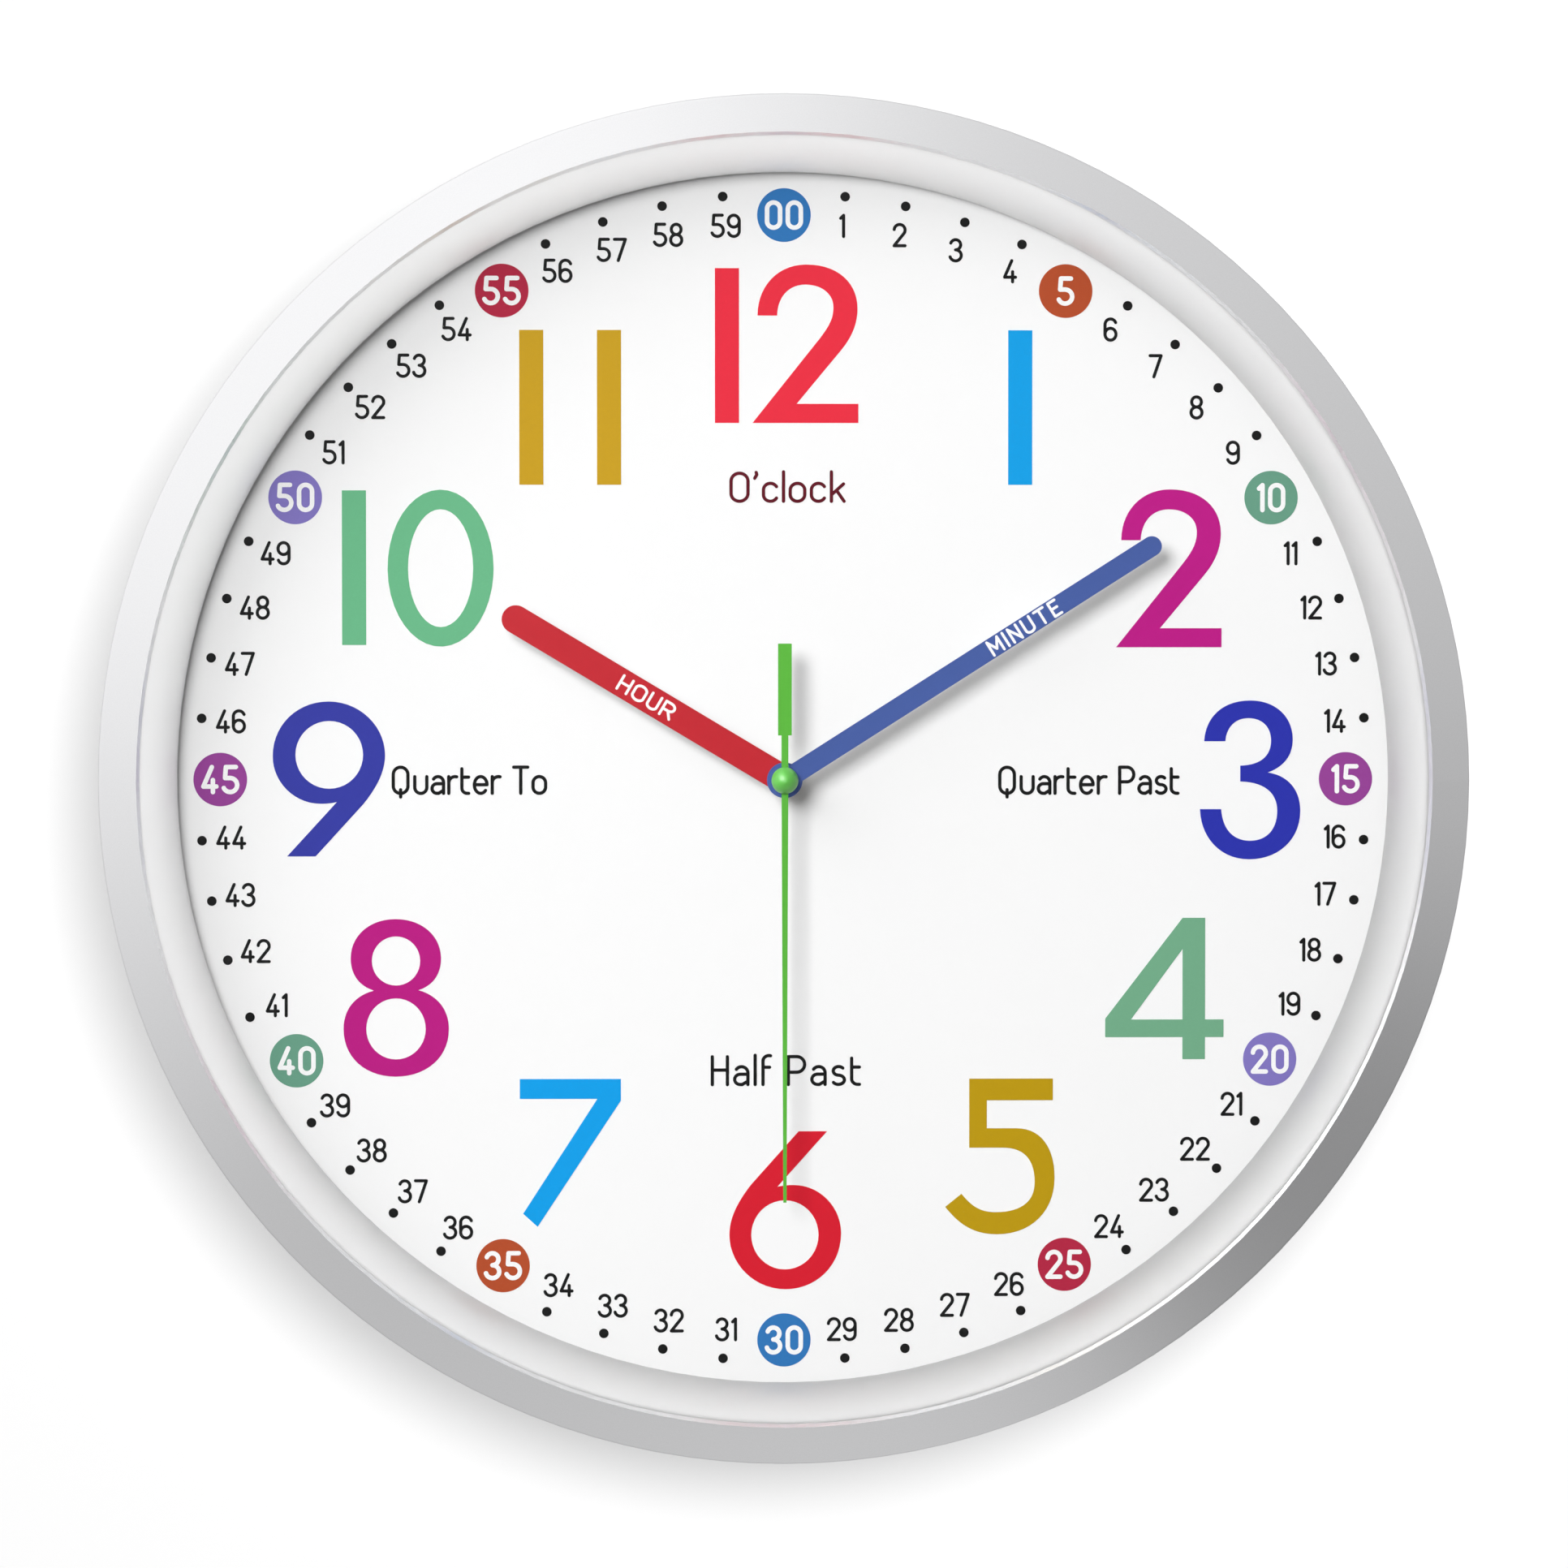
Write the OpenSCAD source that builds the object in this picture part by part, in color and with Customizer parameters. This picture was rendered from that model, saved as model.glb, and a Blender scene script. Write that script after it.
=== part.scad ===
// Teaching wall clock: silver bezel, printed dial under flat glass, three hands and a
// quartz movement with its battery on the open back.
// Worked out lying on its back: x right, y up the dial, z from the wall to the viewer.
// upright() then stands it up, so that the wall is the plane y = 0 and +z is up.

/* [Bezel] */
// Outer diameter of the bezel
case_d = 300; // [285:1:330]
// Wall of the bezel's skirt
skirt_wall = 2.2; // [1.8:0.1:2.6]
// Width of the sloping silver land, seen from the front
land_w = 9.3; // [9:0.1:13]
// Height that the land rises from its outer edge to its crest
land_rise = 5; // [3:0.1:7]
// Thickness of the land, measured along the clock's axis
land_t = 2.4; // [2:0.1:3]
// Radius of the round along the land's outer edge
edge_r = 1.2; // [0.8:0.1:1.8]
// Width of the small bevel inside the crest
crest_w = 0.6; // [0.4:0.1:1.8]
// Thickness of the lip in front of the glass
lip_t = 1.6; // [1.3:0.1:2.2]
// Upright edge of the lip below its bevel
lip_edge = 0.5; // [0.3:0.1:0.9]
// Wall of the rim that centres the glass
seat_wall = 1.4; // [1.1:0.1:1.8]
// Depth of that rim behind the glass
seat_h = 1; // [0.6:0.1:1.6]
// Diameter of the screw bosses in the bezel
boss_d = 5.2; // [4.8:0.1:5.3]
// Number of case screws
screw_n = 6; // [4:1:8]

/* [Glass and inner ring] */
// Thickness of the glass
glass_t = 2; // [1.6:0.1:2.6]
// How far the glass reaches under the lip
glass_lap = 1.6; // [1.4:0.1:2.6]
// Room between the second hand's hub and the glass
glass_room = 1.6; // [1.2:0.1:3]
// Width of the white inner ring, seen from the front
ring_w = 7.2; // [5.5:0.1:8]
// Wall of the inner ring
ring_wall = 1.6; // [1.3:0.1:2]
// How far the inner ring bulges from a straight cone
ring_bulge = 2; // [1.5:0.1:2.6]

/* [Dial and back plate] */
// Thickness of the dial
dial_t = 0.8; // [0.6:0.1:1.2]
// How far the dial reaches under the inner ring
dial_tuck = 4.5; // [3.6:0.1:5]
// Height of the rim that centres the dial, above the ribs that carry it
dial_rim_h = 1.6; // [1.3:0.1:2]
// Wall of that rim
dial_rim_wall = 1.4; // [1.1:0.1:1.8]
// Thickness of the back plate
plate_t = 2.2; // [1.8:0.1:3]
// Thickness of the ribs behind the plate
rib_t = 1.8; // [1.4:0.1:2.4]
// Height of the ribs
rib_h = 6; // [4:0.5:8]
// Number of radial ribs
rib_n = 8; // [8:4:16]
// Gap between a rib's end and the bezel's skirt
rib_end_gap = 9; // [8:0.5:14]
// Height of the frame around the movement
pocket_h = 8; // [6:0.5:10]
// Wall of that frame
pocket_wall = 2; // [1.6:0.1:2.6]

/* [Hanger] */
// Height of the hanger's middle above the hands' axis
hanger_y = 100; // [85:1:112]
// Width of the hanger plate
hanger_w = 42; // [40:1:50]
// Height of the hanger plate
hanger_h = 24; // [22:1:28]
// Thickness of the hanger plate
hanger_t = 1.5; // [1.2:0.1:2]
// Corner radius of the hanger plate
hanger_corner = 4; // [3:0.5:6]
// Gap between the wall and the hanger plate
hanger_gap = 5; // [4:0.5:7]
// Diameter of the keyhole's round entry
keyhole_d = 9; // [8:0.5:10]
// Width of the keyhole's slot
slot_w = 4.6; // [4:0.1:5.4]
// Rise from the entry's centre to the slot's top centre
keyhole_rise = 8; // [7:0.5:9]
// Distance between the hanger's posts
post_pitch = 30; // [28:1:32]
// Diameter of the hanger's posts
post_d = 7; // [6:0.5:8]

/* [Screws] */
// Shank diameter of the screws
screw_d = 2.5; // [2.2:0.1:2.8]
// Length of a shank
screw_l = 9; // [8:0.5:11]
// Head diameter
head_d = 4.4; // [4:0.1:4.8]
// Head height
head_h = 1.8; // [1.5:0.1:2.2]
// Length of the cross recess
cross_l = 2.8; // [2.4:0.1:3.2]
// Width of the cross recess
cross_w = 0.7; // [0.5:0.1:0.9]
// Depth of the cross recess
cross_h = 1; // [0.7:0.1:1.2]

/* [Movement case] */
// Gap between the wall and the back of the movement
wall_gap = 3; // [2.6:0.1:5]
// Wall of the movement's case
shell_t = 1.4; // [1.2:0.1:1.8]
// Wall between the gear room and the battery bay
partition_t = 1; // [0.8:0.1:1.4]
// Corner radius of the movement's case
shell_corner = 3; // [2:0.5:5]
// Width of the finger notch at the battery
notch_w = 18; // [14:1:24]
// Depth of the finger notch
notch_h = 6; // [4:0.5:8]
// Diameter of the four posts that carry the train plate
pillar_d = 3.2; // [2.6:0.1:3.6]
// Diameter of the posts behind the train plate
pin_d = 2; // [1.6:0.1:2.2]
// Thickness of the train plate
train_plate_t = 1; // [0.8:0.1:1.3]

/* [Centre fixing] */
// Thickness of the rubber washer
rubber_t = 1; // [0.9:0.1:1.5]
// Diameter of the rubber washer
rubber_d = 22; // [18:0.5:26]
// Diameter of the threaded bush
bush_d = 8; // [7.6:0.1:9]
// Diameter of the bush's flange
flange_d = 12; // [11:0.5:13]
// Thickness of the bush's flange
flange_t = 0.7; // [0.5:0.1:0.8]
// Thickness of the metal washer
washer_t = 0.6; // [0.5:0.1:1]
// Diameter of the metal washer
washer_d = 15; // [13:0.5:18]
// Thickness of the nut
nut_t = 2.4; // [2:0.1:3]
// Width of the nut across its flats
nut_af = 11; // [10.5:0.5:13]
// How far the bush stands out of the nut
bush_proud = 0.6; // [0.4:0.1:1]

/* [Gear train] */
// Thickness of every wheel
wheel_t = 1.2; // [1:0.1:1.4]
// Gap between one level of wheels and the next
level_gap = 0.6; // [0.5:0.1:0.8]
// Height of the bearing bosses inside the lid
bearing_h = 0.5; // [0.3:0.1:0.5]
// Diameter of the bearing bosses
bearing_d = 3.2; // [2.6:0.1:3.4]
// Distance from the centre to the third wheel's arbor
third_c = 10.6; // [10.4:0.1:11.2]
// Distance from the centre to the motion wheel's arbor
motion_c = 12; // [11.6:0.1:12.6]
// Distance from the centre to the step wheel's arbor
step_c = 10.8; // [10.6:0.1:11.2]
// Distance from the step wheel's arbor to the rotor
rotor_c = 8.4; // [8.3:0.1:9]
// Play between the teeth of two gears, along the pitch circle
backlash = 0.1; // [0.08:0.01:0.14]
// Diameter of the thin arbors
arbor_d = 1; // [0.8:0.05:1.05]
// Diameter of the pivots at the arbors' ends
pivot_d = 0.7; // [0.5:0.05:0.75]
// Diameter of the second hand's arbor
second_d = 1; // [0.8:0.05:1.05]
// Diameter of the minute hand's tube
minute_d = 3.2; // [2.8:0.1:3.3]
// Diameter of the hour hand's tube
hour_d = 5.1; // [4.9:0.1:5.4]
// Diameter of the seat that the minute drive wheel slips on
clutch_d = 4.4; // [3.8:0.1:4.8]
// Diameter of the motion wheel's shaft
motion_d = 2.4; // [2:0.1:2.6]
// Diameter of the setting knob
knob_d = 10; // [8:0.5:12]
// Number of grooves around the setting knob
knob_n = 24; // [16:2:36]
// Thickness of the setting knob
knob_t = 1.8; // [1.4:0.1:2]

/* [Motor and circuit] */
// Diameter of the rotor's magnet
magnet_d = 5.2; // [4.6:0.1:5.3]
// Height of the rotor's magnet
magnet_h = 2; // [1.6:0.1:2]
// Gap between the magnet and the stator
magnet_gap = 0.4; // [0.3:0.05:0.5]
// Width of the stator's ring around the rotor
stator_w = 1.4; // [1.1:0.1:1.4]
// Thickness of the stator and of the coil's core
stator_t = 1; // [0.8:0.1:1.2]
// Width of the stator's arms
arm_w = 2.4; // [2:0.1:2.6]
// Rise from the rotor to the coil's axis
coil_rise = 5.2; // [5.1:0.1:6]
// Length of the coil's bobbin
bobbin_l = 18; // [16:0.5:19]
// Diameter of the bobbin's flanges
bobbin_d = 5.8; // [5.2:0.1:5.9]
// Diameter of the bobbin's tube
bobbin_tube_d = 4; // [3.6:0.1:4.2]
// Thickness of the bobbin's flanges
bobbin_flange = 0.8; // [0.6:0.1:1.2]
// Depth of the winding below the flanges' edge
winding_inset = 0.3; // [0.2:0.1:0.5]
// Width of the circuit board
board_w = 12.6; // [11:0.1:13.5]
// Height of the circuit board
board_h = 10.4; // [9:0.1:10.5]
// Thickness of the circuit board
board_t = 1; // [0.8:0.1:1.2]
// Diameter of the chip's cover
chip_d = 5; // [4:0.1:5.5]
// Height of the chip's cover
chip_h = 1; // [0.7:0.1:1.4]
// Diameter of the quartz crystal's can
crystal_d = 2; // [1.6:0.1:2.2]
// Length of the quartz crystal's can
crystal_l = 6; // [5:0.1:7]

/* [Battery] */
// Diameter of the battery
battery_d = 14.2; // [13.5:0.1:14.5]
// Length of the battery's body
battery_l = 49.2; // [48:0.1:50.5]
// Diameter of the battery's positive cap
cap_d = 5.5; // [4.8:0.1:6]
// Height of the battery's positive cap
cap_h = 1.3; // [1:0.1:1.6]
// Thickness of the contacts' sheet
contact_t = 0.4; // [0.3:0.05:0.5]
// Width of the contacts' strips
strip_w = 2; // [1.6:0.1:2.4]
// Width of the contacts' plates
contact_w = 6; // [5:0.1:7]
// How far the spring contact stands off the wall
spring_rise = 1.8; // [1.5:0.1:2.4]

/* [Hands] */
// Thickness of the hour and minute hands
hand_t = 0.8; // [0.6:0.1:1]
// Height of the minute hand's collar
collar_h = 1.6; // [1.4:0.1:2]
// Gap between one hand and the next
hand_gap = 0.6; // [0.5:0.1:1]
// Length of the hour hand, from the axis to its tip
hour_l = 71.8; // [60:0.1:80]
// Width of the hour hand
hour_w = 6.2; // [5:0.1:7]
// Diameter of the hour hand's collar
hour_collar_d = 7.2; // [6.8:0.1:8.4]
// Height of the hour hand's collar
hour_collar_h = 5.2; // [4.4:0.1:6]
// Length of the minute hand, from the axis to its tip
minute_l = 97.7; // [85:0.1:110]
// Width of the minute hand
minute_w = 4.4; // [3.8:0.1:5.5]
// Diameter of the minute hand's round hub
minute_hub_d = 7.8; // [7:0.1:9]
// Diameter of the minute hand's collar
minute_collar_d = 5; // [4.8:0.1:6]
// Length of the second hand, from the axis to its tip
second_l = 92.7; // [80:0.1:105]
// Width of the second hand at its hub
second_w = 1.5; // [1.2:0.1:2]
// Width of the second hand at its tip
second_tip_w = 0.7; // [0.5:0.1:1]
// Thickness of the second hand
second_t = 0.5; // [0.4:0.1:0.7]
// Length of the second hand's thin neck behind the axis
neck_l = 9.9; // [8:0.1:12]
// Length of the second hand's whole tail
tail_l = 30; // [26:0.1:34]
// Width of the second hand's counterweight
tail_w = 3; // [2.4:0.1:3.6]
// Diameter of the round hub on the second hand
ball_d = 5.9; // [5.2:0.1:6.4]
// Diameter of the hub's stem under the second hand
stem_d = 2.8; // [2.4:0.1:3]
// Height of the hub's stem below the second hand
stem_h = 0.8; // [0.6:0.1:1.2]
// Hour hand's angle, clockwise from twelve
hour_angle = 300.9; // [0:0.1:360]
// Minute hand's angle, clockwise from twelve
minute_angle = 57.5; // [0:0.1:360]
// Second hand's angle, clockwise from twelve
second_angle = 180; // [0:0.1:360]

/* [Hidden] */
$fn = 96;

// Clearances
press_gap = 0.02;      // pieces pressed or glued together
run_gap = 0.06;        // a shaft turning in its bearing, on the radius
slide_gap = 0.3;       // pieces dropped into a seat
through_gap = 0.35;    // a screw or bush passing through a plate, on the radius
bay_gap = 0.45;        // the battery in its bay
clear_gap = 0.5;       // a turning piece beside a fixed one
overrun = 0.3;         // how far a pinion reaches past the wheel it meets
end_gap = 0.2;         // a wheel above the bearing under it
front_gap = 0.7;       // the hour wheel below the movement's front wall
coil_room = 1.2;       // room around the coil
boss_sink = 0.6;       // how far a screw boss's web grows into the skirt
cut = 1;               // how far a cutter reaches past a face

// Tooth counts of the going train and of the motion work
rotor_z = 8;
step_z = 48;
step_pinion_z = 12;
second_z = 60;
second_pinion_z = 8;
third_z = 60;
third_pinion_z = 8;
drive_z = 64;
cannon_z = 12;
motion_z = 36;
motion_pinion_z = 12;
hour_z = 48;

// Tooth forms: addendum, dedendum, and half widths at tip and root, as shares
pinion_form = [0.62, 1.25, 0.62, 0.8];
wheel_form = [0.85, 1.15, 0.42, 1.12];

// A gear's module from its centre distance and the two tooth counts
function gear_module(c, z1, z2) = 2 * c / (z1 + z2);
third_m = gear_module(third_c, second_pinion_z, third_z);
drive_m = gear_module(third_c, third_pinion_z, drive_z);
motion_m = gear_module(motion_c, cannon_z, motion_z);
hour_m = gear_module(motion_c, motion_pinion_z, hour_z);
step_m = gear_module(step_c, step_pinion_z, second_z);
rotor_m = gear_module(rotor_c, rotor_z, step_z);
function tip_r(z, m, form) = z * m / 2 + form[0] * m;

// Where the arbors stand around the centre
function polar(r, a) = [r * cos(a), r * sin(a)];
third_a = 160;
motion_a = 20;
step_a = 90;
rotor_a = 110;
third_at = polar(third_c, third_a);
motion_at = polar(motion_c, motion_a);
step_at = polar(step_c, step_a);
rotor_at = step_at + polar(rotor_c, rotor_a);

// Heights in the movement, from its back to its front
z_lid = wall_gap;
z_room = z_lid + shell_t;
z_step = z_room + bearing_h + end_gap;
level = wheel_t + level_gap;
z_second = z_step + level;
z_third = z_second + level;
z_drive = z_third + level;
z_train_plate = z_drive + level;
z_motion = z_train_plate + train_plate_t + level_gap;
z_hour = z_motion + level;
z_room_end = z_hour + wheel_t + front_gap;
z_front = z_room_end + shell_t;
pivot_floor = shell_t / 3;

// Heights from the movement's front to the bezel's crest
z_plate = z_front + rubber_t;
z_plate_top = z_plate + plate_t;
z_nut = z_plate_top + washer_t;
z_bush_end = z_nut + nut_t + bush_proud;
z_dial_back = z_bush_end + slide_gap;
z_dial = z_dial_back + dial_t;
z_hour_hand = z_dial + hand_gap;
z_minute_hand = z_hour_hand + hour_collar_h + hand_gap;
z_second_stem = z_minute_hand + collar_h + hand_gap;
z_second_hand = z_second_stem + stem_h;
z_ball = z_second_hand + second_t;
z_glass = z_ball + ball_d / 2 + glass_room;
z_lip = z_glass + glass_t;
z_crest = z_lip + lip_t;

// Radii from the bezel inwards
case_r = case_d / 2;
skirt_r = case_r - skirt_wall;
open_r = case_r - land_w;
crest_r = open_r + crest_w;
glass_r = open_r + glass_lap;
seat_r = glass_r + slide_gap;
view_r = open_r - ring_w;
dial_r = view_r + dial_tuck;
plate_r = skirt_r - slide_gap;
boss_r = skirt_r - head_d / 2 - slide_gap;
ring_out_r = min(glass_r, boss_r - boss_d / 2) - slide_gap;
screw_turn = 45;
function land_z(r) = z_crest - land_rise * (r - crest_r) / (case_r - crest_r);

// Outline of the movement's case, around the gear room and the battery bay
bay_x = (battery_l + cap_h + 2 * contact_t + spring_rise) / 2 + press_gap;
stator_ring_r = magnet_d / 2 + magnet_gap + stator_w;
core_x0 = rotor_at[0] + stator_ring_r + clear_gap;
bobbin_x = core_x0 + arm_w + slide_gap;
core_x1 = bobbin_x + bobbin_l + slide_gap + arm_w;
room_x = max(bay_x, core_x1 + contact_t + slide_gap);
shell_x = room_x + shell_t;
room_low = -max(
  tip_r(drive_z, drive_m, wheel_form),
  tip_r(second_z, step_m, wheel_form),
  tip_r(hour_z, hour_m, wheel_form)
) - clear_gap;
bay_high = room_low - partition_t;
bay_low = bay_high - battery_d - 2 * bay_gap;
shell_low = bay_low - shell_t;
coil_y = rotor_at[1] + coil_rise;
room_high = coil_y + bobbin_d / 2 + coil_room;
shell_high = room_high + shell_t;
battery_y = (bay_low + bay_high) / 2;
battery_z = z_room_end - slide_gap - battery_d / 2;
battery_x = -bay_x + contact_t + spring_rise + press_gap;

// Motor and circuit
z_stator = z_third - level_gap;
z_core = z_stator - stator_t;
slit_w = 0.8;
upper_arm_y = rotor_at[1] + slit_w / 2;
lower_arm_y = rotor_at[1] - slit_w / 2 - arm_w;
stator_post_d = arm_w - clear_gap;
z_strip = z_train_plate - board_t - strip_w;
board_x = -room_x + press_gap;
board_y = room_high - press_gap - board_h;
pillar_x = room_x - contact_t - slide_gap - pillar_d / 2;
pillar_low = room_low + contact_t + slide_gap + pillar_d / 2;
right_pillar_y = lower_arm_y - pillar_d;
left_pillar_x = (board_x + board_w + rotor_at[0] - stator_ring_r) / 2;
pillars = [
  [-pillar_x, pillar_low], [pillar_x, pillar_low],
  [pillar_x, right_pillar_y], [left_pillar_x, rotor_at[1]]
];

// Building blocks
module upright() {
  rotate([90, 0, 0]) children();
}

module slab(z0, z1) {
  translate([0, 0, z0]) linear_extrude(z1 - z0) children();
}

module disc(d, z0, z1) {
  translate([0, 0, z0]) cylinder(h = z1 - z0, d = d);
}

module bore(d, z0, z1) {
  disc(d, z0 - cut, z1 + cut);
}

module sleeve(d, hole_d, z0, z1) {
  difference() {
    disc(d, z0, z1);
    bore(hole_d, z0, z1);
  }
}

module box(x0, x1, y0, y1) {
  translate([x0, y0]) square([x1 - x0, y1 - y0]);
}

module round_box(x0, x1, y0, y1, r) {
  box(x0 + r, x1 - r, y0, y1);
  box(x0, x1, y0 + r, y1 - r);
  for (x = [x0 + r, x1 - r], y = [y0 + r, y1 - r])
    translate([x, y]) circle(r);
}

module around(n, r, start) {
  for (i = [0 : n - 1])
    rotate(start + 360 * i / n) translate([r, 0]) children();
}

// One tooth after another, as straight flanks from root to pitch circle to tip
function tooth_half(z, m) = 90 / z - backlash / (2 * z * m) * 180 / PI;
function gear_outline(z, m, form) = [
  for (i = [0 : z - 1], q = [
    [-form[1], -form[3]], [0, -1], [form[0], -form[2]],
    [form[0], form[2]], [0, 1], [-form[1], form[3]]
  ]) polar(z * m / 2 + q[0] * m, 360 * i / z + q[1] * tooth_half(z, m))
];

// The turn that sets gear 2 into gear 1, which has a tooth at its own angle t1
function mesh_turn(z1, t1, z2, a) = a + 180 - (180 - z1 * (a - t1)) / z2;

// Turns of the gears that mesh with one whose first tooth points along +x
step_pinion_turn = mesh_turn(second_z, 0, step_pinion_z, step_a);
rotor_turn = mesh_turn(step_z, 0, rotor_z, rotor_a);
third_turn = mesh_turn(second_pinion_z, 0, third_z, third_a);
drive_turn = mesh_turn(third_pinion_z, 0, drive_z, third_a + 180);
motion_turn = mesh_turn(cannon_z, 0, motion_z, motion_a);
hour_turn = mesh_turn(motion_pinion_z, 0, hour_z, motion_a + 180);

module gear(z, m, form, turn, z0, z1) {
  slab(z0, z1) rotate(turn) polygon(gear_outline(z, m, form));
}

module screw(z_seat) {
  difference() {
    union() {
      disc(head_d, z_seat - head_h, z_seat);
      disc(screw_d, z_seat - head_h / 2, z_seat + screw_l);
    }
    slab(z_seat - head_h - cut, z_seat - head_h + cross_h) {
      square([cross_l, cross_w], center = true);
      square([cross_w, cross_l], center = true);
    }
  }
}

// Case
module bezel_section() {
  edge_z = land_z(case_r);
  under_r = seat_r + seat_wall;
  difference() {
    polygon([
      [skirt_r, 0], [case_r, 0], [case_r, edge_z], [crest_r, z_crest],
      [open_r, z_lip + lip_edge], [open_r, z_lip], [seat_r, z_lip],
      [seat_r, z_glass - seat_h], [under_r, z_glass - seat_h],
      [under_r, land_z(under_r) - land_t], [skirt_r, land_z(skirt_r) - land_t]
    ]);
    edge_round_cut(edge_z);
  }
}

// Takes the corner between the skirt and the land off to a round of radius edge_r
module edge_round_cut(edge_z) {
  slope = atan2(land_rise, case_r - crest_r);
  reach = edge_r * tan((90 - slope) / 2);
  centre = [case_r - edge_r, edge_z - reach];
  difference() {
    polygon([
      [case_r + cut, edge_z - reach], [centre[0], centre[1]],
      centre + edge_r * [sin(slope), cos(slope)],
      [case_r - reach * cos(slope), edge_z + reach * sin(slope)] + cut * [sin(slope), cos(slope)],
      [case_r + cut, edge_z + cut]
    ]);
    translate(centre) circle(edge_r);
  }
}

// Room below the middle of the land's wall, where the screw bosses stand
module boss_room_section() {
  inside = boss_r - boss_d;
  outside = skirt_r + 2 * boss_sink;
  polygon([
    [inside, z_plate_top - cut], [outside, z_plate_top - cut],
    [outside, land_z(outside) - land_t / 2], [inside, land_z(inside) - land_t / 2]
  ]);
}

module bezel() color("silver") upright() difference() {
  union() {
    rotate_extrude($fn = 180) bezel_section();
    intersection() {
      around(screw_n, boss_r, screw_turn) slab(z_plate_top, z_crest) {
        circle(d = boss_d);
        box(0, skirt_r - boss_r + boss_sink, -boss_d / 4, boss_d / 4);
      }
      rotate_extrude($fn = 180) boss_room_section();
    }
  }
  around(screw_n, boss_r, screw_turn)
    disc(screw_d + 2 * press_gap, z_plate_top - cut, z_plate_top + screw_l);
}

module glass() color([0.8, 0.9, 0.95, 0.3]) upright()
  disc(2 * glass_r, z_glass, z_lip, $fn = 180);

// A shell between two concentric arcs, from the dial's edge up to the glass
module inner_ring_section() {
  foot = [view_r, z_dial];
  top = [open_r + slide_gap, z_glass];
  chord = norm(top - foot);
  along = (top - foot) / chord;
  out = [along[1], -along[0]];
  arc_r = (chord * chord / 4 + ring_bulge * ring_bulge) / (2 * ring_bulge);
  centre = (foot + top) / 2 + out * (arc_r - ring_bulge);
  intersection() {
    difference() {
      translate(centre) circle(arc_r);
      translate(centre) circle(arc_r - ring_wall);
    }
    polygon([
      [view_r - cut, z_dial], [ring_out_r, z_dial],
      [ring_out_r, z_glass], [view_r - cut, z_glass]
    ]);
  }
}

module inner_ring() color("white") upright()
  rotate_extrude($fn = 180) inner_ring_section();

module dial() color("white") upright()
  sleeve(2 * dial_r, hour_d + 2 * through_gap, z_dial_back, z_dial, $fn = 180);

module ribs() {
  slab(z_plate - rib_h, z_plate) difference() {
    for (i = [0 : rib_n - 1])
      rotate((i + 0.5) * 360 / rib_n) box(0, skirt_r - rib_end_gap, -rib_t / 2, rib_t / 2);
    box(-shell_x - pocket_wall, shell_x + pocket_wall, shell_low - pocket_wall, shell_high + pocket_wall);
  }
}

// Ribs in front of the plate, which carry the dial clear of the nut
module dial_ribs() {
  slab(z_plate_top, z_dial_back)
    for (i = [0 : rib_n - 1])
      rotate((i + 0.5) * 360 / rib_n)
        box(rubber_d / 2, dial_r + slide_gap + dial_rim_wall / 2, -rib_t / 2, rib_t / 2);
}

module movement_frame() {
  in = slide_gap;
  out = slide_gap + pocket_wall;
  slab(z_plate - pocket_h, z_plate) difference() {
    box(-shell_x - out, shell_x + out, shell_low - out, shell_high + out);
    box(-shell_x - in, shell_x + in, shell_low - in, shell_high + in);
  }
}

module hanger_posts() {
  for (x = [-1, 1] * post_pitch / 2)
    translate([x, hanger_y]) difference() {
      disc(post_d, hanger_gap + hanger_t, z_plate);
      disc(screw_d + 2 * press_gap, hanger_gap + hanger_t - cut, hanger_gap + screw_l);
    }
}

module back_plate() color("gainsboro") upright() {
  difference() {
    disc(2 * plate_r, z_plate, z_plate_top, $fn = 180);
    bore(bush_d + 2 * through_gap, z_plate, z_plate_top);
    around(screw_n, boss_r, screw_turn) bore(screw_d + 2 * through_gap, z_plate, z_plate_top);
  }
  sleeve(2 * (dial_r + slide_gap + dial_rim_wall), 2 * (dial_r + slide_gap),
    z_plate_top, z_dial_back + dial_rim_h, $fn = 180);
  dial_ribs();
  ribs();
  movement_frame();
  hanger_posts();
}

module case_screws() color("gray") upright()
  around(screw_n, boss_r, screw_turn) screw(z_plate);

// Hanger
module keyhole() {
  translate([0, hanger_y - keyhole_rise / 2]) {
    circle(d = keyhole_d);
    box(-slot_w / 2, slot_w / 2, 0, keyhole_rise);
    translate([0, keyhole_rise]) circle(d = slot_w);
  }
}

module hanger_plate() color("lightgray") upright() slab(hanger_gap, hanger_gap + hanger_t)
  difference() {
    round_box(-hanger_w / 2, hanger_w / 2, hanger_y - hanger_h / 2, hanger_y + hanger_h / 2, hanger_corner);
    keyhole();
    for (x = [-1, 1] * post_pitch / 2)
      translate([x, hanger_y]) circle(d = screw_d + 2 * through_gap);
  }

module hanger_screws() color("gray") upright()
  for (x = [-1, 1] * post_pitch / 2)
    translate([x, hanger_y]) screw(hanger_gap);

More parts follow.
